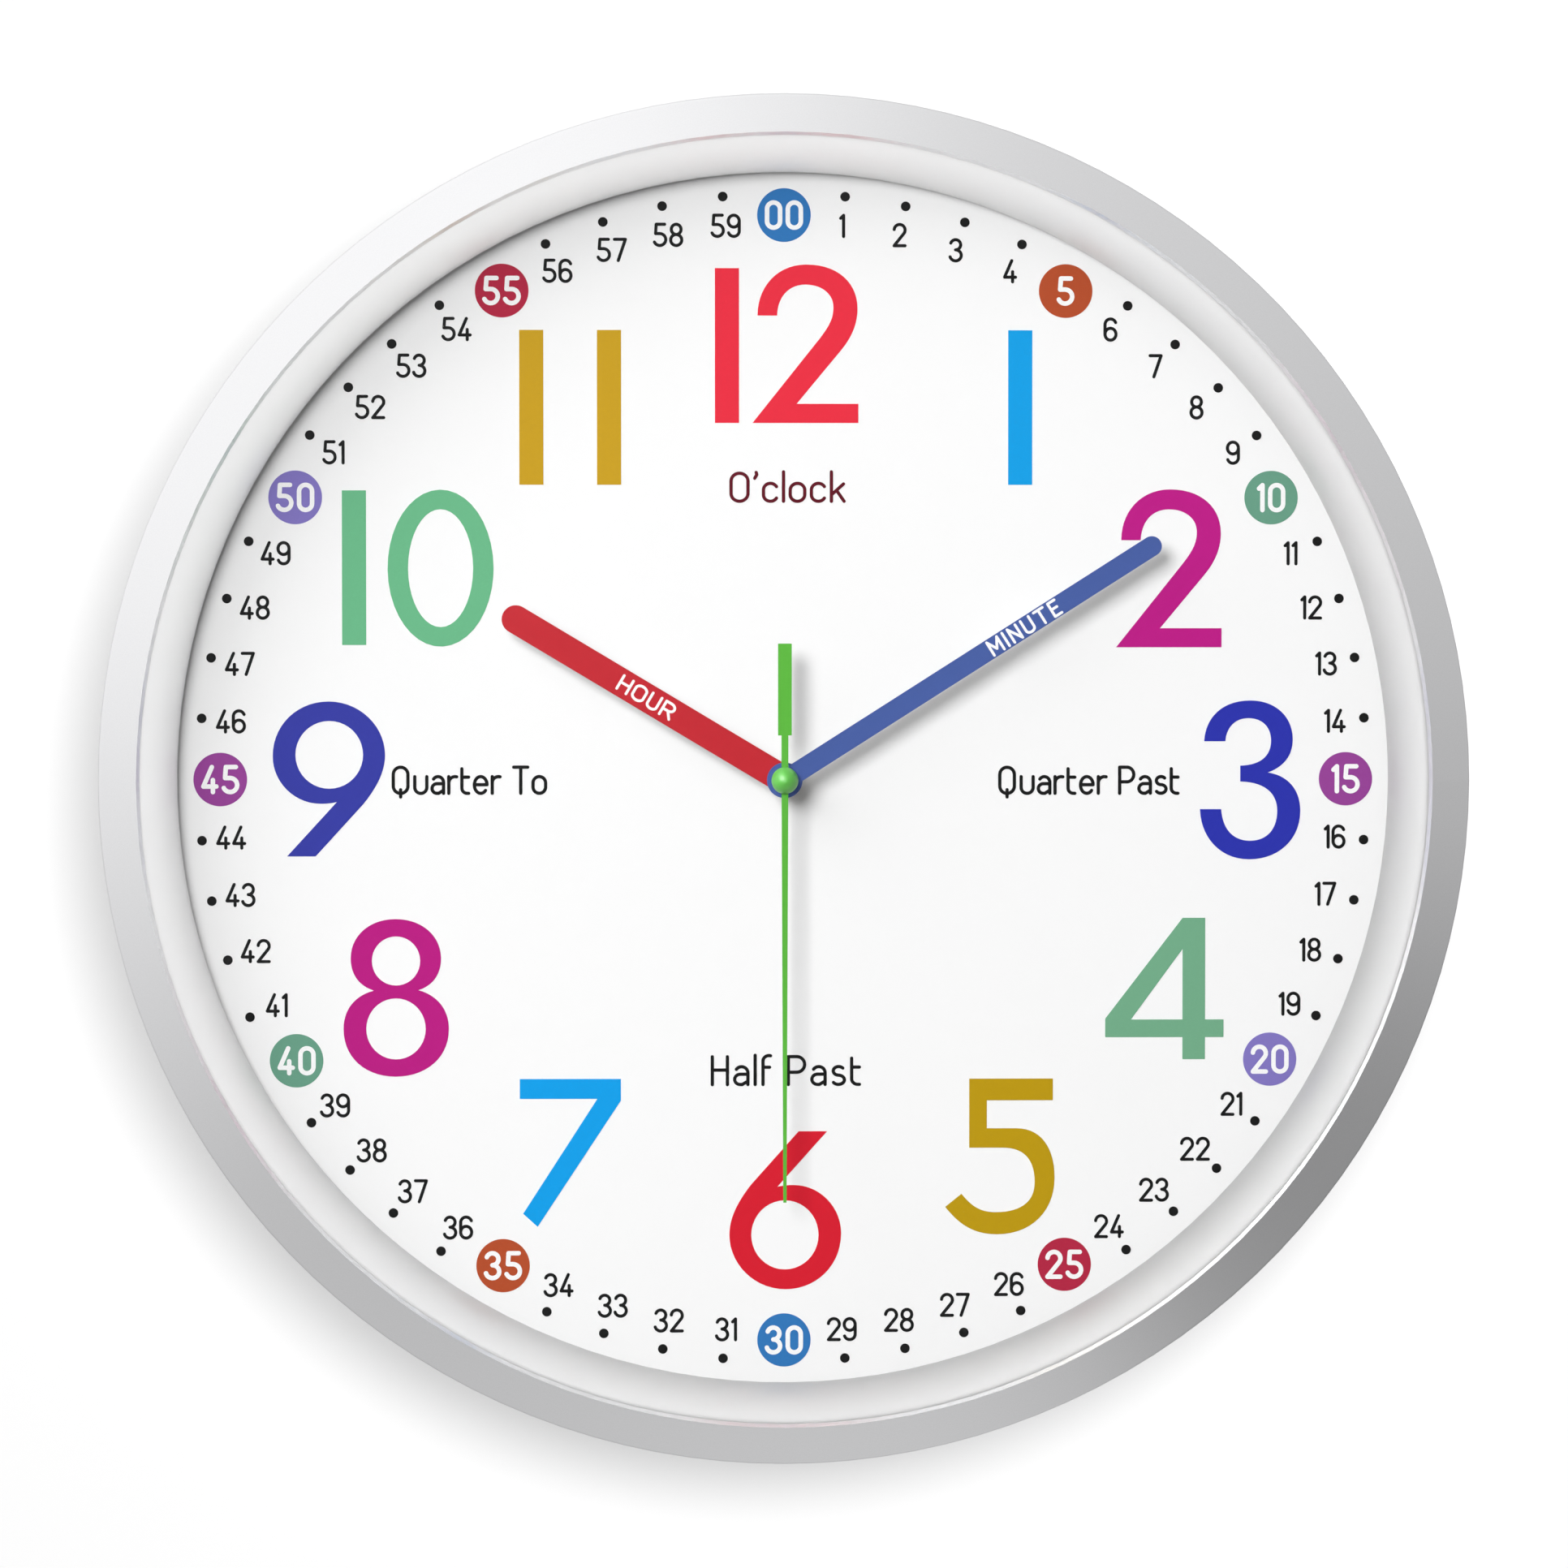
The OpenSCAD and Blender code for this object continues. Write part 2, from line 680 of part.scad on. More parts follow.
// Movement case
module movement_base() color([0.12, 0.12, 0.13]) upright() {
  difference() {
    slab(z_lid, z_front) round_box(-shell_x, shell_x, shell_low, shell_high, shell_corner);
    slab(z_lid - cut, z_room_end) {
      box(-room_x, room_x, room_low, room_high);
      box(-bay_x, bay_x, bay_low, bay_high);
      for (side = [-1, 1])
        translate([side * (bay_x - contact_t), (room_low + bay_high) / 2])
          square([2 * contact_t, 2 * partition_t], center = true);
    }
    slab(z_lid - cut, z_lid + notch_h) box(-notch_w / 2, notch_w / 2, shell_low - cut, bay_low + cut / 2);
    bore(bush_d + 2 * press_gap, z_room_end, z_front);
    translate(motion_at) disc(pivot_d + 2 * run_gap, z_room_end - cut, z_front - pivot_floor);
  }
  for (p = pillars) translate(p) {
    disc(pillar_d, z_train_plate + train_plate_t, z_room_end);
    disc(pin_d, z_room, z_room_end);
  }
}

// What fills the gear room from wall to wall
module room_outline() {
  x = room_x - press_gap;
  box(-x, x, room_low + press_gap, room_high - press_gap);
}

module bearing(at) {
  translate(at) disc(bearing_d, z_room, z_room + bearing_h);
}

module pivot_hole(at) {
  translate(at) disc(pivot_d + 2 * run_gap, z_lid + pivot_floor, z_step);
}

module movement_lid() color([0.15, 0.15, 0.16]) upright() difference() {
  union() {
    slab(z_lid, z_room) room_outline();
    for (at = [[0, 0], third_at, step_at, rotor_at]) bearing(at);
  }
  for (at = [[0, 0], third_at, step_at, rotor_at]) pivot_hole(at);
  translate(motion_at) bore(motion_d + 2 * run_gap, z_lid, z_room);
}

module train_plate() color("ivory") upright() {
  z_end = z_train_plate + train_plate_t;
  difference() {
    slab(z_train_plate, z_end) room_outline();
    bore(clutch_d + 2 * clear_gap, z_train_plate, z_end);
    translate(motion_at) bore(motion_d + 2 * run_gap, z_train_plate, z_end);
    for (at = [third_at, step_at, rotor_at])
      translate(at) bore(pivot_d + 2 * run_gap, z_train_plate, z_end);
    for (p = pillars) translate(p) bore(pin_d + 2 * press_gap, z_train_plate, z_end);
  }
  for (x = [core_x0 + arm_w / 2, core_x1 - arm_w / 2])
    translate([x, coil_y]) disc(stator_post_d, z_stator + stator_t, z_train_plate);
}

// Centre fixing
module center_bush() color("goldenrod") upright() difference() {
  union() {
    disc(bush_d, z_room_end, z_bush_end);
    disc(flange_d, z_front, z_front + flange_t);
  }
  bore(hour_d + 2 * run_gap, z_room_end, z_bush_end);
}

module rubber_washer() color("dimgray") upright()
  sleeve(rubber_d, flange_d + 2 * slide_gap, z_front, z_plate);

module bush_washer() color("goldenrod") upright()
  sleeve(washer_d, bush_d + 2 * press_gap, z_plate_top, z_nut);

module bush_nut() color("goldenrod") upright() difference() {
  translate([0, 0, z_nut]) cylinder(h = nut_t, d = nut_af / cos(30), $fn = 6);
  bore(bush_d + 2 * press_gap, z_nut, z_nut + nut_t);
}

// Motion work
module hour_wheel() color("white") upright() difference() {
  union() {
    gear(hour_z, hour_m, wheel_form, hour_turn, z_hour, z_hour + wheel_t);
    disc(hour_d, z_hour, z_hour_hand + hour_collar_h);
  }
  bore(minute_d + 2 * run_gap, z_hour, z_hour_hand + hour_collar_h);
}

module minute_cannon() color("white") upright() difference() {
  union() {
    disc(clutch_d, z_drive, z_motion - level_gap / 2);
    gear(cannon_z, motion_m, pinion_form, 0, z_motion - level_gap / 2, z_motion + wheel_t + overrun);
    disc(minute_d, z_drive, z_minute_hand + collar_h);
  }
  bore(second_d + 2 * run_gap, z_drive, z_minute_hand + collar_h);
}

module motion_wheel() color("white") upright() translate(motion_at) {
  gear(motion_z, motion_m, wheel_form, motion_turn, z_motion, z_motion + wheel_t);
  gear(motion_pinion_z, hour_m, pinion_form, 0, z_motion + wheel_t, z_hour + wheel_t + overrun);
  disc(motion_d, z_lid - slide_gap - knob_t, z_motion);
  disc(pivot_d, z_hour + wheel_t, z_front - pivot_floor - slide_gap / 2);
}

module setting_knob() color("firebrick") upright() translate(motion_at) difference() {
  slab(z_lid - slide_gap - knob_t, z_lid - slide_gap) difference() {
    circle(d = knob_d);
    around(knob_n, knob_d / 2, 0) circle(d = knob_d * PI / knob_n / 2);
  }
  bore(motion_d + 2 * press_gap, z_lid - slide_gap - knob_t, z_lid - slide_gap);
}

// Going train
module minute_drive_wheel() color("ivory") upright() difference() {
  gear(drive_z, drive_m, wheel_form, drive_turn, z_drive, z_drive + wheel_t);
  bore(clutch_d + 2 * run_gap, z_drive, z_drive + wheel_t);
}

module second_wheel() color("ivory") upright() difference() {
  union() {
    gear(second_z, step_m, wheel_form, 0, z_second, z_second + wheel_t);
    gear(second_pinion_z, third_m, pinion_form, 0, z_second + wheel_t, z_third + wheel_t + overrun);
  }
  bore(second_d + 2 * press_gap, z_second, z_third + wheel_t + overrun);
}

module second_arbor() color("gray") upright() {
  disc(second_d, z_step, z_ball);
  disc(min(pivot_d, second_d), z_room, z_step);
}

// An arbor from the lid's bearing to the train plate's, with a pivot at each end
module arbor() {
  disc(arbor_d, z_step, z_train_plate - slide_gap / 2);
  disc(pivot_d, z_room, z_train_plate + train_plate_t);
}

module third_wheel() color("ivory") upright() translate(third_at) {
  gear(third_z, third_m, wheel_form, third_turn, z_third, z_third + wheel_t);
  gear(third_pinion_z, drive_m, pinion_form, 0, z_third + wheel_t, z_drive + wheel_t + overrun);
  arbor();
}

module step_wheel() color("ivory") upright() translate(step_at) {
  gear(step_z, rotor_m, wheel_form, 0, z_step, z_step + wheel_t);
  gear(step_pinion_z, step_m, pinion_form, step_pinion_turn, z_step + wheel_t,
    z_second + wheel_t + overrun);
  arbor();
}

// Motor and circuit
module rotor_magnet() color("dimgray") upright() translate(rotor_at)
  sleeve(magnet_d, arbor_d + 2 * press_gap,
    z_stator + stator_t / 2 - magnet_h / 2, z_stator + stator_t / 2 + magnet_h / 2);

module rotor_pinion() color("ivory") upright() translate(rotor_at) {
  gear(rotor_z, rotor_m, pinion_form, rotor_turn, z_step, z_step + wheel_t + overrun / 2);
  arbor();
}

module stator() color("silver") upright() slab(z_stator, z_stator + stator_t) difference() {
  union() {
    translate(rotor_at) circle(stator_ring_r);
    box(rotor_at[0], core_x0 + arm_w, upper_arm_y, upper_arm_y + arm_w);
    box(core_x0, core_x0 + arm_w, upper_arm_y, coil_y + arm_w / 2);
    box(rotor_at[0], core_x1, lower_arm_y, lower_arm_y + arm_w);
    box(core_x1 - arm_w, core_x1, lower_arm_y, coil_y + arm_w / 2);
  }
  translate(rotor_at) circle(d = magnet_d + 2 * magnet_gap);
}

module coil_core() color("silver") upright() slab(z_core, z_stator)
  box(core_x0, core_x1, coil_y - arm_w / 2, coil_y + arm_w / 2);

module coil_bobbin() color("white") upright() difference() {
  translate([bobbin_x, coil_y, z_core + stator_t / 2]) rotate([0, 90, 0]) {
    disc(bobbin_tube_d, 0, bobbin_l);
    disc(bobbin_d, 0, bobbin_flange);
    disc(bobbin_d, bobbin_l - bobbin_flange, bobbin_l);
  }
  slab(z_core - press_gap, z_stator + press_gap)
    box(core_x0, core_x1, coil_y - arm_w / 2 - press_gap, coil_y + arm_w / 2 + press_gap);
}

module coil_winding() color("peru") upright()
  translate([bobbin_x, coil_y, z_core + stator_t / 2]) rotate([0, 90, 0])
    sleeve(bobbin_d - 2 * winding_inset, bobbin_tube_d + 2 * press_gap,
      bobbin_flange + press_gap, bobbin_l - bobbin_flange - press_gap);

module circuit_board() color("darkgreen") upright()
  slab(z_train_plate - board_t, z_train_plate) box(board_x, board_x + board_w, board_y, board_y + board_h);

module chip_cover() color([0.1, 0.1, 0.1]) upright()
  translate([board_x + board_w / 2, board_y + board_h - chip_d / 2 - clear_gap])
    disc(chip_d, z_train_plate - board_t - chip_h, z_train_plate - board_t);

module quartz_crystal() color("silver") upright()
  translate([board_x + (board_w - crystal_l) / 2, board_y + crystal_d / 2 + clear_gap,
    z_train_plate - board_t - crystal_d / 2])
    rotate([0, 90, 0]) cylinder(h = crystal_l, d = crystal_d);

// Battery and its contacts
module positive_contact() color("silver") upright() {
  x = bay_x;
  slab(z_strip, z_strip + strip_w) {
    box(x - contact_t, x, battery_y, room_low + contact_t);
    box(x - contact_t, room_x, room_low, room_low + contact_t);
    box(room_x - contact_t, room_x, room_low, room_high);
    box(board_x + board_w / 2, room_x, room_high - contact_t, room_high);
  }
  slab(battery_z - contact_w / 2, battery_z + contact_w / 2)
    box(x - contact_t, x, battery_y - contact_w / 2, battery_y + contact_w / 2);
}

module negative_contact() color("silver") upright() {
  x = -bay_x;
  spring_x = x + contact_t + spring_rise;
  slab(z_strip, z_strip + strip_w) {
    box(x, x + contact_t, battery_y, room_low + contact_t);
    box(-room_x, x + contact_t, room_low, room_low + contact_t);
    box(-room_x, -room_x + contact_t, room_low, board_y + board_h / 2);
  }
  slab(battery_z - contact_w / 2, battery_z + contact_w / 2) {
    box(x, x + contact_t, battery_y - contact_w, battery_y + contact_w);
    for (side = [-1, 1])
      polygon([
        [x, battery_y + side * contact_w], [x + contact_t, battery_y + side * contact_w],
        [spring_x, battery_y], [spring_x - contact_t, battery_y]
      ]);
  }
}

module battery() color("darkorange") upright()
  translate([battery_x, battery_y, battery_z]) rotate([0, 90, 0]) {
    disc(battery_d, 0, battery_l);
    disc(cap_d, battery_l - cap_h, battery_l + cap_h);
  }

// Hands, drawn pointing at twelve and then turned clockwise
module pointing(angle) {
  rotate(-angle) children();
}

module hour_hand() color("crimson") upright() pointing(hour_angle) difference() {
  union() {
    slab(z_hour_hand + hour_collar_h - hand_t, z_hour_hand + hour_collar_h) {
      box(-hour_w / 2, hour_w / 2, 0, hour_l - hour_w / 2);
      translate([0, hour_l - hour_w / 2]) circle(d = hour_w);
    }
    disc(hour_collar_d, z_hour_hand, z_hour_hand + hour_collar_h);
  }
  bore(hour_d + 2 * press_gap, z_hour_hand, z_hour_hand + hour_collar_h);
}

module minute_hand() color("royalblue") upright() pointing(minute_angle) difference() {
  union() {
    slab(z_minute_hand + collar_h - hand_t, z_minute_hand + collar_h) {
      box(-minute_w / 2, minute_w / 2, 0, minute_l - minute_w / 2);
      translate([0, minute_l - minute_w / 2]) circle(d = minute_w);
      circle(d = minute_hub_d);
    }
    disc(minute_collar_d, z_minute_hand, z_minute_hand + collar_h);
  }
  bore(minute_d + 2 * press_gap, z_minute_hand, z_minute_hand + collar_h);
}

module second_hand() color("limegreen") upright() pointing(second_angle) difference() {
  slab(z_second_hand, z_ball) {
    polygon([
      [-second_w / 2, 0], [second_w / 2, 0],
      [second_tip_w / 2, second_l], [-second_tip_w / 2, second_l]
    ]);
    circle(d = ball_d - 2 * slide_gap);
    box(-second_w / 2, second_w / 2, -neck_l, 0);
    box(-tail_w / 2, tail_w / 2, -tail_l, -neck_l);
  }
  bore(stem_d + 2 * press_gap, z_second_hand, z_ball);
}

module second_hand_hub() color("limegreen") upright() difference() {
  union() {
    disc(stem_d, z_second_stem, z_ball);
    intersection() {
      translate([0, 0, z_ball]) sphere(d = ball_d);
      disc(ball_d + cut, z_ball, z_ball + ball_d);
    }
  }
  disc(second_d + 2 * press_gap, z_second_stem - cut, z_ball + press_gap);
}

bezel();
glass();
inner_ring();
dial();
back_plate();
case_screws();
hanger_plate();
hanger_screws();
movement_base();
movement_lid();
train_plate();
center_bush();
rubber_washer();
bush_washer();
bush_nut();
hour_wheel();
minute_cannon();
minute_drive_wheel();
second_wheel();
second_arbor();
third_wheel();
step_wheel();
motion_wheel();
setting_knob();
rotor_magnet();
rotor_pinion();
stator();
coil_core();
coil_bobbin();
coil_winding();
circuit_board();
chip_cover();
quartz_crystal();
positive_contact();
negative_contact();
battery();
hour_hand();
minute_hand();
second_hand();
second_hand_hub();
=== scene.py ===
"""Looks of the teaching wall clock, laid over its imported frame."""
import math

import bpy
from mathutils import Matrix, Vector
from mathutils.geometry import delaunay_2d_cdt


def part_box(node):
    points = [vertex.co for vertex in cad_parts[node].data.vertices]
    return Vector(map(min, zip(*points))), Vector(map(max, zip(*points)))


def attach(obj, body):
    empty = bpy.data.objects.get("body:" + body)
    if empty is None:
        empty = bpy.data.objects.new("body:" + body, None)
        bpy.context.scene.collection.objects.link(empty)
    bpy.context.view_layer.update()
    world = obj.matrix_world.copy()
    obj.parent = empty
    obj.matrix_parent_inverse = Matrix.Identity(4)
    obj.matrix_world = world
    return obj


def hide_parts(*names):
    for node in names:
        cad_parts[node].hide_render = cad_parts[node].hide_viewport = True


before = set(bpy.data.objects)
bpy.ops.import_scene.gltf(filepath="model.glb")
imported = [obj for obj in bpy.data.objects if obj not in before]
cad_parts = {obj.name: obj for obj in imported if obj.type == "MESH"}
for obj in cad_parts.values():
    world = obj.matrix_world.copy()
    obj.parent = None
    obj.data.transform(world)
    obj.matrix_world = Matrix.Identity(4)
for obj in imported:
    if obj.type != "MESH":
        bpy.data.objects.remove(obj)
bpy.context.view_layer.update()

MM = 0.001
scene = bpy.context.scene


def put(name, data):
    """A new object in the scene that holds a camera, a lamp or a mesh."""
    piece = bpy.data.objects.new(name, data)
    scene.collection.objects.link(piece)
    return piece


def facing(place, aim):
    """The turn of a camera or lamp that stands at place and looks at aim."""
    return (Vector(aim) - Vector(place)).to_track_quat("-Z", "Y").to_euler()


# Camera, a little left of and above the middle of the dial, in metres
CAMERA_PLACE = (-0.03251, -1.4672, 0.0476)
CAMERA_AIM = (-0.000263, -0.0399, -0.000659)
LENS_MM = 150
SENSOR_MM = 36

camera = put("camera", bpy.data.cameras.new("camera"))
camera.data.lens = LENS_MM
camera.data.sensor_width = SENSOR_MM
camera.location = CAMERA_PLACE
camera.rotation_euler = facing(CAMERA_PLACE, CAMERA_AIM)
scene.camera = camera

# Finishes: the noise's detail, where it ends the ramp of tones, and how far it moves the roughness
NOISE_DETAIL = 3
TONE_ENDS = (0.25, 0.75)
ROUGH_SPREAD = 0.15


def srgb(red, green, blue):
    """A colour as written on a screen, from 0 to 255, as light values."""
    def light(value):
        value /= 255
        return value / 12.92 if value < 0.04045 else ((value + 0.055) / 1.055) ** 2.4
    return light(red), light(green), light(blue)


def shade(color, factor):
    """A colour made lighter or darker, with full cover."""
    return tuple(min(1.0, part * factor) for part in color) + (1.0,)


def finish(name, color, rough, metal=0.0, grain=900, stretch=(1, 1, 1), spread=0.05, relief=0.1,
           depth=0.05, shine=0.5):
    """A surface whose tone, roughness and relief follow a fine noise.

    grain is in features per metre, stretch multiplies it along X, Y and Z, and depth is in mm.
    """
    material = bpy.data.materials.new(name)
    material.use_nodes = True
    nodes = material.node_tree.nodes
    links = material.node_tree.links
    shader = nodes["Principled BSDF"]
    shader.inputs["Metallic"].default_value = metal
    shader.inputs["Specular IOR Level"].default_value = shine
    place = nodes.new("ShaderNodeTexCoord")
    scale = nodes.new("ShaderNodeMapping")
    scale.inputs["Scale"].default_value = stretch
    noise = nodes.new("ShaderNodeTexNoise")
    noise.inputs["Scale"].default_value = grain
    noise.inputs["Detail"].default_value = NOISE_DETAIL
    tone = nodes.new("ShaderNodeValToRGB")
    for element, end, factor in zip(tone.color_ramp.elements, TONE_ENDS, (1 - spread, 1 + spread)):
        element.position = end
        element.color = shade(color, factor)
    gloss = nodes.new("ShaderNodeMapRange")
    gloss.inputs["To Min"].default_value = rough * (1 - ROUGH_SPREAD)
    gloss.inputs["To Max"].default_value = rough * (1 + ROUGH_SPREAD)
    bump = nodes.new("ShaderNodeBump")
    bump.inputs["Strength"].default_value = relief
    bump.inputs["Distance"].default_value = depth * MM
    links.new(place.outputs["Object"], scale.inputs["Vector"])
    links.new(scale.outputs["Vector"], noise.inputs["Vector"])
    links.new(noise.outputs["Fac"], tone.inputs["Fac"])
    links.new(noise.outputs["Fac"], gloss.inputs["Value"])
    links.new(noise.outputs["Fac"], bump.inputs["Height"])
    links.new(tone.outputs["Color"], shader.inputs["Base Color"])
    links.new(gloss.outputs["Result"], shader.inputs["Roughness"])
    links.new(bump.outputs["Normal"], shader.inputs["Normal"])
    return material


def clear_glass(name):
    """Glass with faint wipe marks."""
    material = finish(name, (1, 1, 1), 0.012, grain=60, stretch=(1, 1, 4), spread=0, relief=0.004,
                      depth=0.02)
    shader = material.node_tree.nodes["Principled BSDF"]
    shader.inputs["Transmission Weight"].default_value = 1
    shader.inputs["IOR"].default_value = 1.45
    return material


def hand_paint(name, color, relief):
    """Smooth paint of a hand."""
    return finish(name, srgb(*color), 0.4, grain=1600, spread=0.03, relief=relief, depth=0.02, shine=0.2)


def ink(name, color):
    """Flat printing ink."""
    return finish("ink_" + name, srgb(*color), 0.6, grain=2400, spread=0.03, relief=0.05, depth=0.01,
                  shine=0.08)


SILVER = finish("silver_paint", (0.80, 0.80, 0.81), 0.35, metal=1.0, grain=5000, spread=0.03,
                relief=0.05, depth=0.02)
WHITE_SATIN = finish("white_satin", (0.73, 0.73, 0.73), 0.42, grain=1500, spread=0.01,
                     relief=0.04, depth=0.02)
CARD = finish("dial_card", (0.955, 0.955, 0.955), 0.75, grain=2600, spread=0.012,
              relief=0.06, depth=0.02, shine=0.1)
GLASS = clear_glass("glass")
GREY_MOULDED = finish("grey_moulded", srgb(196, 198, 200), 0.5, grain=2200, spread=0.04,
                      relief=0.25, depth=0.04)
ZINC = finish("zinc", (0.62, 0.63, 0.65), 0.32, metal=1.0, grain=1400, spread=0.08,
              relief=0.08, depth=0.02)
SHEET_STEEL = finish("sheet_steel", (0.60, 0.61, 0.62), 0.34, metal=1.0, grain=900, stretch=(0.08, 1, 1.6),
                     spread=0.1, relief=0.08, depth=0.02)
BLACK_MOULDED = finish("black_moulded", srgb(34, 34, 36), 0.46, grain=2600, spread=0.12,
                       relief=0.3, depth=0.04)
NATURAL = finish("natural_plastic", srgb(232, 228, 214), 0.38, grain=700, spread=0.02,
                 relief=0.04, depth=0.02)
BRASS = finish("brass", (0.78, 0.56, 0.24), 0.26, metal=1.0, grain=1600, stretch=(1, 0.1, 1),
               spread=0.06, relief=0.06, depth=0.01)
RUBBER = finish("rubber", srgb(38, 38, 38), 0.8, grain=1800, spread=0.15, relief=0.3, depth=0.05)
STEEL = finish("turned_steel", (0.66, 0.66, 0.67), 0.22, metal=1.0, grain=2000, stretch=(0.2, 1, 0.2),
               spread=0.05, relief=0.05, depth=0.01)
MAGNET = finish("sintered_magnet", srgb(70, 70, 74), 0.5, metal=0.6, grain=3000, spread=0.15,
                relief=0.3, depth=0.03)
CORE_STEEL = finish("core_steel", (0.52, 0.53, 0.55), 0.36, metal=1.0, grain=1200, stretch=(0.1, 1, 1),
                    spread=0.08, relief=0.06, depth=0.02)
COPPER = finish("copper_wire", (0.72, 0.33, 0.16), 0.3, metal=1.0, grain=4200, stretch=(1, 0.05, 0.05),
                spread=0.25, relief=0.6, depth=0.08)
BOARD = finish("board_lacquer", srgb(38, 110, 62), 0.3, grain=600, stretch=(1, 0.1, 1),
               spread=0.25, relief=0.1, depth=0.03)
EPOXY = finish("black_epoxy", srgb(22, 22, 22), 0.25, grain=400, spread=0.2, relief=0.1, depth=0.05)
NICKEL = finish("nickel", (0.68, 0.66, 0.61), 0.28, metal=1.0, grain=1500, spread=0.06,
                relief=0.05, depth=0.01)
RED_MOULDED = finish("red_moulded", srgb(186, 42, 40), 0.42, grain=1800, spread=0.06,
                     relief=0.2, depth=0.03)
WRAP = finish("battery_wrap", srgb(104, 122, 136), 0.3, grain=500, stretch=(0.2, 1, 1),
              spread=0.06, relief=0.05, depth=0.02)
RED_PAINT = hand_paint("red_paint", (188, 24, 38), 0.05)
BLUE_PAINT = hand_paint("blue_paint", (64, 88, 156), 0.05)
GREEN_PAINT = hand_paint("green_paint", (86, 176, 54), 0.04)
GREEN_GLOSS = finish("green_gloss", srgb(86, 182, 62), 0.4, grain=900, spread=0.03,
                     relief=0.02, depth=0.02, shine=0.9)
MARK = finish("pale_mark", srgb(206, 206, 204), 0.6, grain=2400, spread=0.04,
              relief=0.1, depth=0.01, shine=0.2)
BLACK_INK = ink("black", (10, 10, 10))
WHITE_INK = ink("white", (250, 250, 250))
WORD_INK = ink("dark_red", (92, 14, 30))

NODE_FINISH = {
    SILVER: ["bezel"],
    GLASS: ["glass"],
    WHITE_SATIN: ["inner_ring"],
    CARD: ["dial"],
    GREY_MOULDED: ["back_plate"],
    ZINC: ["case_screws", "hanger_screws", "bush_washer", "quartz_crystal"],
    SHEET_STEEL: ["hanger_plate"],
    BLACK_MOULDED: ["movement_base", "movement_lid"],
    NATURAL: ["train_plate", "hour_wheel", "minute_cannon", "minute_drive_wheel", "second_wheel",
              "third_wheel", "step_wheel", "motion_wheel", "rotor_pinion", "coil_bobbin"],
    BRASS: ["center_bush", "bush_nut"],
    RUBBER: ["rubber_washer"],
    STEEL: ["second_arbor"],
    MAGNET: ["rotor_magnet"],
    CORE_STEEL: ["stator", "coil_core"],
    COPPER: ["coil_winding"],
    BOARD: ["circuit_board"],
    EPOXY: ["chip_cover"],
    NICKEL: ["positive_contact", "negative_contact"],
    RED_MOULDED: ["setting_knob"],
    WRAP: ["battery"],
    RED_PAINT: ["hour_hand"],
    BLUE_PAINT: ["minute_hand"],
    GREEN_PAINT: ["second_hand"],
    GREEN_GLOSS: ["second_hand_hub"],
}
for material, names in NODE_FINISH.items():
    for name in names:
        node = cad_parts[name]
        if not node.material_slots:
            node.data.materials.append(material)
        for slot in node.material_slots:
            slot.material = material

# The glass casts no shadow, and what stands over the dial throws no light or tint back on its card
OVER_DIAL = ["glass", "inner_ring", "hour_hand", "minute_hand", "second_hand", "second_hand_hub"]
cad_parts["glass"].visible_shadow = False
for name in OVER_DIAL:
    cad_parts[name].visible_diffuse = False

# Flat outlines, in mm on a plane seen from the front
ARC_STEP = 9
ARC_LEAST_STEPS = 6
MINUTE_TURN = 6
JOIN_WITHIN = 1e-5


def arc(cx, cy, rx, ry, start, end):
    """Points along an ellipse, angles in degrees and counterclockwise."""
    count = max(ARC_LEAST_STEPS, round(abs(end - start) / ARC_STEP))
    angles = [math.radians(start + (end - start) * k / count) for k in range(count + 1)]
    return [(cx + rx * math.cos(angle), cy + ry * math.sin(angle)) for angle in angles]


def disc(cx, cy, radius, sides):
    """Corners of a round spot."""
    angles = [2 * math.pi * k / sides for k in range(sides)]
    return [(cx + radius * math.cos(angle), cy + radius * math.sin(angle)) for angle in angles]


def clockwise(angle, radius):
    """The place at an angle in degrees, counted clockwise from twelve."""
    return radius * math.sin(math.radians(angle)), radius * math.cos(math.radians(angle))


def around(minute, radius):
    """The place of a minute on the dial."""
    return clockwise(MINUTE_TURN * minute, radius)


def flat_union(adds, cuts=()):
    """Points and triangles that cover the adds, joined, less the cuts."""
    points, faces = [], []
    for outline in [*adds, *cuts]:
        start = len(points)
        outline = [Vector(point) for point in outline]
        double_area = sum(a.cross(b) for a, b in zip(outline, outline[1:] + outline[:1]))
        points += outline if double_area > 0 else outline[::-1]
        faces.append(list(range(start, len(points))))
    corners, _, cells, _, _, owners = delaunay_2d_cdt(points, [], faces, 0, JOIN_WITHIN)
    kept = []
    for cell, owner in zip(cells, owners):
        if owner and max(owner) < len(adds):
            a, b, c = (corners[i] for i in cell)
            area = (b - a).cross(c - a)
            kept.append(tuple(cell) if area > 0 else tuple(reversed(cell)))
    return corners, kept


# Signs drawn with a round pen
def oval(width, height):
    """The stroke of an upright oval with half-round ends."""
    r = width / 2
    top = height - r
    return [(0, r), (0, top), (r, top, r, r, 180, 0), (width, r), (r, r, r, r, 0, -180)]


